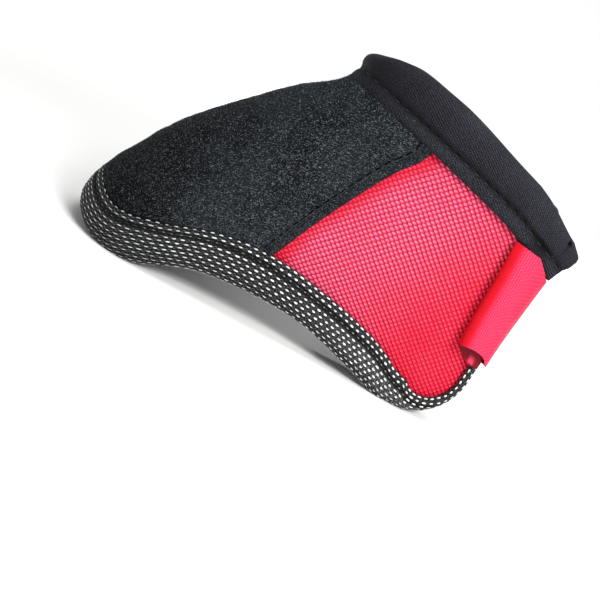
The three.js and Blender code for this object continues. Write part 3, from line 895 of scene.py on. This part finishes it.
tapeForm = Form(
    at=(0.0, 2.0, 3.0, 3.3, 3.5, 3.8, 3.9, 4.0, 4.2, 4.4, 4.6, 4.8, 4.9, 5.0, 5.5, 6.0, 7.0),  # on the run
    face=(14.0, 17.0, 21.0, 20.5, 20.0, 18.8, 20.9, 24.2, 22.2, 21.0, 18.5, 19.5, 18.6, 14.2, 7.8, 4.4, 4.2),
    back=(10.0, 12.0, 14.0, 14.0, 14.0, 14.0, 14.0, 14.0, 14.0, 14.0, 13.0, 12.0, 11.0, 10.0, 8.0, 6.0, 6.0),
    leg=(0.0, 0.1, 0.22, 0.45, 0.7, 0.92, 1.0),  # shares of the face's width up from the edge
    swell=(-2.4, -0.5, 0.5, 1.0, 0.8, 0.0, -0.6),
    thickness=1.6,
    crown=0.6,
    wrap=10.0,  # cloth that passes under the wall
    edgeRound=1.6,
    grooveAt=5.3,  # sewn line, down from the tape's upper edge
    grooveDepth=1.1,
    grooveWidth=0.8,
    grooveFades=(9.0, 15.0),  # widths of the face over which the sewn line comes in
    sewnFrom=12.0,  # width from which it is sewn
    skin=0.8,  # share of the thickness that is built
    floorGap=0.05,
    measuredAt=0.6,  # share of the face down which its length is taken
    steps=(30, 34, 110, 70, 120, 26, 34),
    faceRows=40,
    wrapRows=12,
    backRows=10,
    easeAt=(0.0, 2.2, 3.0, 4.4, 4.6, 4.8, 5.2, 7.0),  # cloth gathered on each length of the edge
    ease=(1.15, 1.1, 1.0, 1.0, 1.1, 1.24, 1.24, 1.15),
    fleckPitch=4.5,
    rowPitch=2.35,
    firstRow=0.8,
    rowShift=0.62,
    sewnRow=2,  # row that lies in the sewn line
    fleckAt=(0.0, 3.0, 3.5, 3.8, 4.1, 4.3, 4.6, 7.0),  # how the flecks change along the run; their shade is painted light, dimmer round the toe
    fleckLength=(2.2, 2.5, 2.5, 2.9, 2.9, 2.7, 2.45, 2.3),
    fleckWidth=(0.8, 0.62, 0.5, 0.52, 0.64, 0.84, 0.95, 0.9),
    fleckPaintedLight=(0.85, 0.7, 0.44, 0.54, 0.78, 0.97, 1.0, 0.97),
    fleckHeight=0.4,
    fleckSink=0.24,
    stitch=4.2,
    stitchSize=(3.36, 0.7, 0.4),
    stitchSink=0.15,
    stitchClear=3.0,  # bare at both ends
    flat=(0.05, 0.69),  # metres
    cutArea=0.0275,
)


def tapeGround():  # dark weave with small curls between the rows of flecks
    form = tapeForm
    material, start = startFinish("fleckedTape")
    u, v = clothPlace(start)
    down = (v - form.firstRow) / form.rowPitch
    row = (down + 0.5).floor()
    t = (down - row).size()
    s = u / form.fleckPitch - row * form.rowShift
    loop = (t - 0.34 * (s * 2.0).wave()).size()
    curls = (1 - loop.step(0.04, 0.16)) * (s + 0.5).wave().step(0.15, 0.8)
    fine = (u / 0.73 + v / 1.6).wave() * (v / 0.8 - u / 3.1).wave()
    place = objectPlace(start)
    cloud = place.spots(55.0, 3.0)
    lit = place.parts()[0].step(0.0, 0.07)  # painted light: greyer towards the heel
    speck = u.beside(v).spots(1.1, 2.0, 0.6).step(0.4, 0.68)
    swellLight = v.step(6.0, 8.5) * (1 - v.step(12.5, 19.0))  # painted light on the broad middle of the face, pale where it swells; painted shade towards the sewn line and the lower edge
    plain = (fine * 0.7 + cloud * 0.4).kept().tint(dye(3, 3, 4), dye(28, 29, 30))
    ground = (speck * (0.07 + lit * (0.2 + 0.6 * swellLight))).tint(plain, dye(122, 127, 127))
    eyes = (curls * (0.62 - 0.52 * lit)).tint(ground, dye(98, 100, 101))
    # painted shade along the sewn line
    colour = (v.near(form.grooveAt, 0.6, 1.8) * 0.85).tint(eyes, dye(6, 6, 7))
    height = fine * 0.45 + curls * 0.7 + (1 - t * 2.0) * 0.4
    return closeFinish(material, start, colour, 0.8 - 0.2 * curls, 0.15, height, 0.4)


def fleckYarn():  # fuzzy white, dimmed as each fleck is marked with painted light and shade and a random tone
    material, start = startFinish("whiteYarn")
    fuzz = objectPlace(start).spots(1400.0)
    white = (mark(start, "shade") * 0.9 + (fuzz - 0.5) * 0.3).kept()
    return closeFinish(material, start, white.tint(dye(46, 47, 47), dye(244, 244, 241)), 0.55, 0.5, fuzz, 0.1)


def tapeFace(station):  # angle turned in the flap's corner, and the widths of the face and the back
    turn = np.clip(station - flapStart, 0.0, 1.0) * np.pi / 2
    at = np.where((station > flapStart) & (station < freeEdge), flapStart + np.sin(turn), station)
    return turn, column(tapeForm.at, tapeForm.face, at), column(tapeForm.at, tapeForm.back, at)


# Tape's face at a station and a distance across it: down the outside from its upper edge, round
# the wall's edge in a half ellipse, and up the inside. What would pass the floor is pressed flat.
def tapePoint(station, across):
    form = tapeForm
    station, across = together(station, across)
    corner = wallForm.corner
    turn, face, back = tapeFace(station)
    edgeTop = wallLength(freeEdge) - wallForm.hem - form.thickness
    centreUp = corner + (edgeTop - corner) * np.clip(station - freeEdge, 0.0, 1.0)
    under = np.clip((across - face) / form.wrap, 0.0, 1.0)
    inset = np.maximum(face - across, 0.0) + np.maximum(across - face - form.wrap, 0.0)
    inward = corner - (corner - inset) * np.sin(turn)
    climb = centreUp - (corner - inset) * np.cos(turn)
    onRim = station <= flapStart
    along = np.where(onRim, np.minimum(station, flapStart), flapPlace(inward))
    share = np.where(onRim, inset, climb) / wallLength(along)
    run, up, _, _ = wallFrame(along, share)
    body = half + wallForm.seat + form.thickness
    leg = np.clip(inset / face, 0.0, 1.0)
    rounding = np.clip(1 - across / form.edgeRound, 0.0, 1.0) ** 2
    groove = form.grooveDepth * smooth(*form.grooveFades, face)
    groove = groove * bell(across, np.minimum(form.grooveAt, 0.45 * face), form.grooveWidth)
    outside = body + form.crown * column(form.leg, form.swell, leg) - groove - rounding * 0.5
    toEnd = np.clip(1 - (face + form.wrap + back - across) / form.edgeRound, 0.0, 1.0)
    inside = -body + 0.9 * toEnd**2
    rolled = form.crown * form.swell[0] / 2
    wrapped = rolled + (body + rolled) * np.cos(np.pi * under)
    off = np.select([across <= face, under < 1.0], [outside, wrapped], inside)
    below = (wallForm.seat + form.thickness) * np.sin(np.pi * under)
    outward = run * np.sin(turn)[..., None] - up * np.cos(turn)[..., None]
    point = offWall(along, share, off) + outward * below[..., None]
    point[..., 2] = np.maximum(point[..., 2], 0.0)
    return point


def tapeFrames(station, across):  # point, direction along the tape and direction out of its face
    stride = 0.002
    nudge = 0.05
    ahead = tapePoint(np.minimum(station + stride, runEnd - 1e-4), across)
    run = unit(ahead - tapePoint(np.maximum(station - stride, 0.0), across))
    over = tapePoint(station, across + nudge) - tapePoint(station, across - nudge)
    return tapePoint(station, across), run, unit(np.cross(over, run))


def makeTape():  # the folded face, thickened towards the wall
    form = tapeForm
    stations = spacedRun(form.steps, runEnd)
    _, face, back = tapeFace(stations)
    taken = column(form.easeAt, form.ease, (stations[1:] + stations[:-1]) / 2)
    reach = reachAlong(tapePoint(stations, face * form.measuredAt), taken)  # cloth used up to each station
    face = face[:, None]
    across = np.concatenate([
        face * np.linspace(0.0, 1.0, form.faceRows + 1)[:-1],
        face + form.wrap * np.linspace(0.0, 1.0, form.wrapRows + 1)[:-1],
        face + form.wrap + back[:, None] * np.linspace(0.0, 1.0, form.backRows + 1),
    ], 1)
    outer = tapePoint(stations[:, None], across)
    towardsWall = unit(np.cross(np.gradient(outer, axis=0), np.gradient(outer, axis=1)))
    inner = outer + towardsWall * form.thickness * form.skin
    inner[..., 2] = np.maximum(inner[..., 2], form.floorGap)
    piece = makeSkin("edge_tape", inner, outer, [tapeGround()], 60.0, (reach[:, None], across))
    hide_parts("binding")
    flecks = makeFlecks(stations, reach)
    stitches = makeTapeStitches(stations, reach)


# Flecks: short arched floats of white yarn in rows across the tape, each row shifted from the last.
# They are thinner in the sewn line and where the tape turns under, and darker there by painted shade; along
# the run they carry painted light, dimmer round the toe.
def makeFlecks(stations, reach):
    form = tapeForm
    most = max(form.face) + form.wrap + max(form.back)
    rows = np.arange(int(most / form.rowPitch))
    counts = np.arange(int(reach[-1] / form.fleckPitch))
    row, count = (grid.ravel() for grid in np.meshgrid(rows, counts, indexing="ij"))
    place = (count + (row * form.rowShift) % 1.0 + dice.normal(0.0, 0.03, len(row))) * form.fleckPitch
    across = form.firstRow + row * form.rowPitch + dice.normal(0.0, 0.08, len(row))
    station = np.interp(place, reach, stations)
    _, face, back = tapeFace(station)
    fits = (across < face + form.wrap + back - 1.0) & (place < reach[-1] - 2.0) & (place > 1.5)
    station, across, face, row = (values[fits] for values in (station, across, face, row))
    number = len(station)
    sunk = (row == form.sewnRow) & (face > form.sewnFrom)
    low = smooth(0.68, 0.95, across / face)
    length, width, shade = (column(form.fleckAt, form[key], station)
                            for key in ("fleckLength", "fleckWidth", "fleckPaintedLight"))
    length = length * dice.uniform(0.8, 1.14, number) * (1 - 0.2 * sunk)
    width = width * dice.uniform(0.82, 1.1, number) * (1 - 0.35 * sunk) * (1 - 0.25 * low)
    # painted shade: dimmer in the sewn line and on the lower rows, on top of the painted light along the run
    shade = shade * dice.normal(0.97, 0.16, number) * (1 - 0.6 * sunk) * (1 - 0.35 * low)
    size = (length, width, form.fleckHeight)
    laid = tapeFrames(station, across)
    shade = np.clip(shade, 0.1, 1.0)
    return makeBars("tape_flecks", fleckYarn(), laid, size, form.fleckSink, shade)


def makeTapeStitches(stations, reach):  # dark thread in the sewn line
    form = tapeForm
    sewn = np.arange(form.stitchClear, reach[-1] - form.stitchClear, form.stitch)
    station = np.interp(sewn, reach, stations)
    station = station[tapeFace(station)[1] > form.sewnFrom]
    laid = tapeFrames(station, np.full_like(station, form.grooveAt))
    return makeBars("tape_stitches", threadFinish(), laid, form.stitchSize, form.stitchSink)


# Padded collar

collarForm = Form(
    up=(-5.5, -5.45, -4.6, -3.0, -1.2, 0.4, 1.5, 2.7, 5.0, 8.5, 12.5, 16.5, 20.0, 22.4, 23.6, 24.0,
        23.7, 22.4, 19.5, 15.5, 11.0, 6.5, 3.0, 0.9, 0.35, 0.35, 0.3, -2.5, -5.45, -5.5),
    off=(3.1, 3.9, 4.6, 5.0, 4.9, 4.4, 3.7, 4.3, 5.35, 5.95, 6.05, 5.65, 4.6, 3.2, 1.9, 0.5,
         -0.8, -2.2, -3.4, -4.1, -4.3, -4.1, -3.6, -3.0, -2.4, 0.0, 2.6, 2.75, 2.8, 3.1),
    riseAt=(0.0, 1.0, 2.0, 3.0, 3.5, 3.7, 3.85, 4.0, 4.2, 4.4, 4.8, 5.3, 6.0, 7.0),  # places on the run
    rise=(0.73, 0.73, 0.72, 0.6, 0.53, 0.63, 0.8, 0.95, 0.99, 1.0, 0.9, 0.85, 0.7, 0.67),  # of the fullest
    fullest=20.6,
    drawn=24.0,  # height at which the section above is drawn
    seamBand=3.0,  # part of it that keeps its height
    lean=0.17,  # towards the heel, on the flap
    leanAt=(4.7, 6.2),
    toeLean=0.08,
    toeFrom=(2.8, 3.4),  # stretch of the run that counts as toe
    toeTo=(3.6, 4.2),
    toeFillUp=(1.6, 1.8),
    toeFill=1.3,  # where the hem's groove runs out over the toe, and the hem reaches further down
    toeHem=2.2,
    past=4.2,  # beyond the flap's free edge
    steps=(24, 24, 90, 50, 90, 30, 10),
    rows=76,
    stitchUp=1.5,
    stitch=6.2,
    stitchClear=3.0,  # bare at both ends
    stitchShare=0.72,  # length of thread in each stitch, its width and height, and its sink
    stitchSize=(0.6, 0.4),
    stitchSink=0.1,
    endStitch=2.8,  # stitches up the free end, between two heights
    endLine=(3.5, 22.0),
    pucker=0.7,
    ripple=0.22,
    dents=0.45,
    dentWaves=((31.0, 60.0), (-47.0, 33.0), (23.0, -80.0)),
    endHem=8.0,  # hem at the free end, and how flat it is pressed
    endFlat=0.3,
    endRound=2.0,
    endUp=(-5.5, -2.0, 2.0, 6.0, 10.0, 15.0, 20.0, 22.5, 24.0),  # outline of that end
    endPast=(0.2, 0.8, 2.2, 3.0, 2.9, 2.7, 1.6, -0.6, -3.4),
    fill=0.7,
)


def jerseyFinish():  # v runs up the collar from its hem, toEnd back from its free end
    form = collarForm
    material, start = startFinish("collarJersey")
    u, v = clothPlace(start)
    cloth = u.beside(v)
    place = objectPlace(start)
    toEnd = mark(start, "toEnd")
    black = dye(2, 2, 3)
    folded = 1 - toEnd.step(form.endHem - 0.8, form.endHem + 0.6)
    hem = (1 - v.step(6.6, 8.6)) * toEnd.step(11.0, 14.0)
    drift = cloth.spots(0.9) * 1.1
    speck = cloth.spots(1.1, 2.0, 0.6).step(0.3, 0.72)
    knit = (u * 0.34 + v * 0.73 + drift).wave() * (0.5 + 0.5 * (u * 0.73 - v * 0.34 + drift).wave())
    twill = (u * 0.15 + v * 0.82 + drift * 0.4).wave()
    ribs = (knit + (twill * 0.75 - knit) * folded) * (0.55 + 0.75 * speck)
    fuzz = (u * 0.9).beside(v * 1.2).spots(1.4, 3.0, 0.65)
    cloud = place.spots(45.0, 3.0)
    lint = place.spots(420.0, 1.0).step(0.77, 0.82)
    base = (ribs * 0.85 + (cloud - 0.5) * 0.4 + 0.04).kept().tint(black, dye(52, 52, 63))
    fuzzy = (fuzz.step(0.5, 0.72) * hem * 0.8).tint(base, dye(66, 70, 74))
    # painted shade in the stitch pits, in a band above the sewn line, along the end's sewn line, in its notch
    # and where the tab enters
    pits = (u / form.stitch).wave() ** 5.0 * v.near(8.8, 0.4, 1.5)
    shadow = v.near(9.6, 0.3, 3.6) * 0.55
    line = toEnd.near(form.endHem, 0.2, 0.9) * v.step(12.0, 22.0) * (1 - v.step(30.0, 31.0))
    notch = 1 - ((toEnd - form.endHem).size() + (v - 27.0).size() * 0.3).step(0.7, 1.5)
    tabEntryShadow = toEnd.near(15.0, 2.0, 8.0) * v.near(8.0, 1.0, 5.0)
    sunk = (pits + shadow + line * 0.8 + notch + tabEntryShadow * 0.7).kept()
    lit = 0.45 + 0.55 * place.parts()[0].step(-0.012, 0.045)  # painted light: deeper black towards the toe
    colour = lit.tint(black, sunk.tint((lint * 0.4).tint(fuzzy, dye(110, 114, 120)), black))
    rough = 0.78 - 0.12 * ribs + 0.1 * hem
    relief = ribs * (1 - hem) + fuzz * hem * 2.2
    gloss = sheen(0.05, 0.45, (160, 172, 205))
    return closeFinish(material, start, colour, rough, 0.16, relief, 0.16, gloss)


# Collar's skin: a closed section carried along the wall's upper edge. Below the seam it follows the
# wall, above it it stands square to the seam's plane.
def collarPoint(along, up, off):
    along, up, off = together(along, up, off)
    form = collarForm
    full = form.fullest * column(form.riseAt, form.rise, along)
    band = form.seamBand
    rise = np.clip(up, 0.0, band) + np.maximum(up - band, 0.0) * (full - band) / (form.drawn - band)
    atToe = smooth(*form.toeFrom, along) * (1 - smooth(*form.toeTo, along))
    lean = form.lean * smooth(*form.leanAt, along) - form.toeLean * atToe
    off = off + form.toeFill * atToe * bell(up, *form.toeFillUp) * smooth(1.0, 3.0, off)
    stands = unit(seamNormal + lean[..., None] * np.array([1.0, 0.0, 0.0]))
    share = 1 + np.minimum(up, 0.0) * (1 + form.toeHem / wallForm.hem * atToe) / wallLength(along, 1.0)
    seam = wallPoint(along, share)
    out = wallFrame(along, share)[2]
    level = unit(out - (out * stands).sum(-1, keepdims=True) * stands)
    facing = unit(out + (level - out) * smooth(-4.0, 3.0, up)[..., None])
    crease = creaseDepth(seam, out) * (1 - smooth(-2.0, 6.0, up))
    return seam + stands * rise[..., None] + facing * (off - crease)[..., None]


# How the plain section is shaped along the run: puckers at the sewn line, a flat hem with its own
# sewn line and a small open notch at the free end, slack dents, and rounded ends.
def collarShape(run, total, up, off):
    form = collarForm
    toEnd = np.minimum(total - run, run)
    atFree = total - run < total / 2
    outside = smooth(0.5, 2.5, off)
    sewn = bell(up, form.stitchUp, 1.3) * outside
    uneven = 0.75 + 0.25 * np.sin(run / 7.3 + 1.0) * np.sin(run / 17.0)
    gather = form.pucker * uneven * (0.5 + 0.5 * np.cos(2 * np.pi * run / form.stitch))
    ripple = form.ripple * np.sin(run / 2.9 + 0.6 * np.sin(run / 11.0)) * bell(up, 4.5, 4.0) * outside
    dents = bent(form.dents, form.dentWaves, (0.4, 2.0, 4.4), run, up) * smooth(3.0, 9.0, up)
    hem = form.endFlat * smooth(form.endHem + 1.5, form.endHem - 2.0, toEnd) * smooth(0.5, 3.0, up)
    line = bell(toEnd, form.endHem, 0.8) * atFree * smooth(1.0, 3.0, up)
    notch = 0.24 + 0.45 * bell(up, 19.5, 2.0)
    swollen = off * (1 - hem - notch * line) - (gather * sewn - ripple) + dents * np.sign(off) * outside
    rounding = np.clip(1 - toEnd / form.endRound, 0.0, 1.0)
    middle = 0.8
    return middle + (swollen - middle) * np.sqrt(np.maximum(1 - rounding**2, 0.02))


def endOutline(run, total, up):  # how far the free end's rounded outline shifts the last stations
    form = collarForm
    fading = smooth(9.0, 0.0, np.maximum(total - run, 0.0))
    return column(form.endUp, form.endPast, up) * fading / wallForm.pastEdge


def makeCollar():  # the section, evenly along its own length, at each station
    form = collarForm
    rows = form.rows
    stations = spacedRun(form.steps, freeEdge + form.past / wallForm.pastEdge)
    reach = reachAlong(wallPoint(stations, 1.0))
    total = reach[-1]
    knots = reachAlong(np.stack([form.up, form.off], -1))
    around = np.linspace(0.0, knots[-1], rows + 1)
    up, off = (column(knots, values, around)[None, :-1] for values in (form.up, form.off))
    run, up, off = together(reach[:, None], up, off)
    grid = collarPoint(stations[:, None] + endOutline(run, total, up), up, collarShape(run, total, up, off))
    uvQuads = gridQuads(len(stations), rows + 1)
    station, row = np.divmod(uvQuads, rows + 1)
    first = np.arange(rows)[None]
    last = first[:, ::-1] + (len(stations) - 1) * rows
    uvCaps = [caps // rows * (rows + 1) + caps % rows for caps in (first, last)]
    uvFaces = np.concatenate([corners.ravel() for corners in (uvQuads, *uvCaps)])
    uv = np.stack(np.broadcast_arrays(reach[:, None], around[None]), -1).reshape(-1, 2)
    groups = [station * rows + row % rows, first, last]
    marks = {"toEnd": total - run}
    points = grid.reshape(-1, 3)
    piece = makePiece("collar_roll", points, groups, [jerseyFinish()], None, uv, uvFaces, 60.0, marks)
    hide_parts("collar")
    makeCollarStitches(stations, reach)


def makeCollarStitches(stations, reach):  # thread along the hem's sewn line and up the end's own line
    form = collarForm
    total = reach[-1]
    outer = slice(np.argmax(form.up) + 1)

    def skin(run, up):
        station = np.interp(run, reach, stations) + endOutline(run, total, up)
        off = np.interp(up, form.up[outer], form.off[outer])
        return collarPoint(station, up, collarShape(run, total, up, off))

    hemRun = np.arange(form.stitchClear, total - form.stitchClear, form.stitch)
    endUp = np.arange(*form.endLine, form.endStitch)
    run = np.concatenate([hemRun + form.stitch / 2, np.full_like(endUp, total - form.endHem)])
    up = np.concatenate([np.full_like(hemRun, form.stitchUp), endUp])
    onHem = np.arange(len(run)) < len(hemRun)
    ahead = skin(run + 0.3, up) - skin(run - 0.3, up)
    over = skin(run, up + 0.2) - skin(run, up - 0.2)
    way = unit(np.where(onHem[:, None], ahead, over))
    laid = (skin(run, up), way, unit(np.cross(ahead, over)))
    length = np.where(onHem, form.stitch, form.endStitch) * form.stitchShare
    size = (length, *form.stitchSize)
    makeBars("collar_stitches", threadFinish(), laid, size, form.stitchSink)


# Pull tab: a strip carried up the flap along a folded section

tabForm = Form(
    inward=(11.0, 5.0, -0.5, -3.4, -3.2, 0.5, 6.0, 12.5,  # from the flap's free edge
            17.2, 18.9, 17.4, 12.5, 10.0, 7.2, 4.5, 1.5),
    off=(-3.9, -5.2, -5.2, -1.5, 3.0, 7.1, 8.4, 8.3,  # from the wall's middle
         7.3, 5.4, 3.8, 3.6, 3.9, 5.0, 5.8, 5.7),
    thickness=1.0,
    top=92.5,
    rise=0.3,  # how the upper end climbs from the fold, and from the leaf behind
    riseBehind=1.4,
    endAt=(-3.4, 0.0, 3.9, 9.2, 14.2, 18.9),  # places in from the edge, and the arched lower end there
    endUp=(39.0, 40.3, 43.0, 43.8, 43.0, 41.5),
    backSlant=0.85,  # the leaf behind the flap hangs lower away from the edge
    backReach=5.0,
    underSlant=0.75,  # and so does the leaf turned under, away from the fold
    underReach=15.0,
    cornerFrom=6.7,
    cornerSlope=0.8,
    narrowing=0.82,
    steps=130,
    rows=56,
    mouth=1.3,  # how far the lower end gapes
    tucked=1.4,  # how far the upper end is drawn down to the wall, and from which share of the length
    tuckedFrom=0.72,
    frontFrom=(3.0, 8.0),  # distances out from the wall over which the front leaf begins
    hollow=-4.0,  # painted shade: the inside is as dark as the leaf that far past the fold
    rowPitch=1.22,  # dotted rows of the weave, and the dots in a row
    dotPitch=1.3,
    flat=(0.077, 0.058),  # metres
    cutArea=0.0042,
)


def satinFinish():  # fine twill with dotted rows beside the fold; painted shade in deep red on the turned edge and in the hollow, painted light beside the fold and on the under leaf's lip
    form = tabForm
    material, start = startFinish("redSatin")
    u, v = clothPlace(start)
    fold = mark(start, "fromFold")
    edge = 1 - fold.step(3.4, 6.0)
    lined = fold.step(3.8, 6.0) * (1 - fold.step(9.0, 20.0) * 0.75)
    row = (u / form.rowPitch).floor()
    dots = (u / form.rowPitch).wave() * (v / form.dotPitch + row * 0.5).wave()
    twill = (u / 1.9 + v / 2.1).wave()
    cloud = u.beside(v).spots(0.08, 3.0)
    # painted shade on the turned edge, and painted light on a band beside the fold
    foldEdgeShade = cloud.tint(dye(178, 0, 14), dye(212, 2, 28))
    near = fold.step(4.0, 8.0) * (1 - fold.step(10.0, 22.0))
    light = (cloud * 0.3 + near * 0.5 + twill * 0.25).kept().tint(dye(208, 8, 46), dye(244, 66, 106))
    woven = (dots.step(0.1, 0.7) * lined * 0.95).tint(light, dye(150, 2, 30))
    outside = (edge * 0.95).tint(woven, foldEdgeShade)
    # painted highlight on the under leaf's lip, painted shade inside the fold
    lipHighlight = (1 - v.step(1.0, 5.0)) * fold.near(-13.0, 0.6, 2.6)
    under = lipHighlight.tint(dye(112, 3, 22), dye(226, 60, 92))
    colour = (1 - fold.step(-2.5, -0.5)).tint(outside, under)
    relief = twill * 0.4 - dots * lined
    gloss = sheen(0.02, 0.5, (255, 200, 206))
    return closeFinish(material, start, colour, 0.5 - 0.1 * twill, 0.12, relief, 0.12, gloss)


def makeTab():  # from the leaf behind the flap, round its edge, over the front and under at the fold
    form = tabForm
    knots = np.stack([form.inward, form.off], -1)
    chords = np.sqrt(np.linalg.norm(np.diff(knots, axis=0), axis=-1))
    at = np.concatenate([[0.0], np.cumsum(chords)])
    dense = np.linspace(0.0, at[-1], 2000)
    line = np.stack([column(at, values, dense) for values in knots.T], -1)
    reach = reachAlong(line)
    places = np.linspace(0.0, reach[-1], form.steps + 1)
    middle = np.stack([np.interp(places, reach, values) for values in line.T], -1)
    tangent = unit(np.gradient(middle, axis=0))
    climb = np.linspace(0.0, 1.0, form.rows + 1)[:, None]
    foldAt = np.argmax(middle[:, 0])
    fold = places[foldAt] - places[None]
    behind = (places < places[np.argmin(middle[:, 0])])[None]
    under = fold < 0
    lift = form.rise * np.minimum(np.maximum(fold, 0.0), form.riseBehind * places)

    def face(side):
        x = (middle[:, 0] - tangent[:, 1] * side * form.thickness / 2)[None]
        away = (middle[:, 1] + tangent[:, 0] * side * form.thickness / 2)[None]
        overWall = smooth(*form.frontFrom, away) * ~under
        drawn = form.tucked * smooth(form.tuckedFrom, 1.0, climb)
        away = away + (form.mouth * (1 - climb) ** 3 - drawn) * overWall
        narrowed = np.where(x > 0, x * (form.narrowing + (1 - form.narrowing) * climb), x)
        fromFold = np.maximum(middle[foldAt, 0] - x, 0.0)
        sag = form.underSlant * fromFold * (1 - fromFold / (2 * form.underReach))
        hang = form.backSlant * np.clip(x - form.endAt[0], 0.0, form.backReach)
        arch = column(form.endAt, form.endUp, np.clip(x, form.endAt[0], form.endAt[-1]))
        low = np.select([behind, under], [form.endUp[0] - hang, form.endUp[-1] - sag], arch)
        high = form.top + lift - form.cornerSlope * np.maximum(0.0, form.cornerFrom - x)
        share = (low + (high - low) * climb) / wallLength(freeEdge)
        return offWall(flapPlace(narrowed), share, away)

    uv = (places[None], climb * (form.top - form.endUp[0]))
    fold = np.repeat(fold, len(climb), 0)
    marks = {"fromFold": [fold, np.minimum(fold, form.hollow)]}
    piece = makeSkin("tab_strip", face(1), face(-1), [satinFinish()], 50.0, uv, marks)
    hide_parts("pull_tab")


makeCamera()
makeLamps()
makeSurround()
makeFloor()
print("camera, light and floor set")
makeShell()
makePanel()
makeTape()
makeCollar()
makeTab()
bpy.context.view_layer.update()
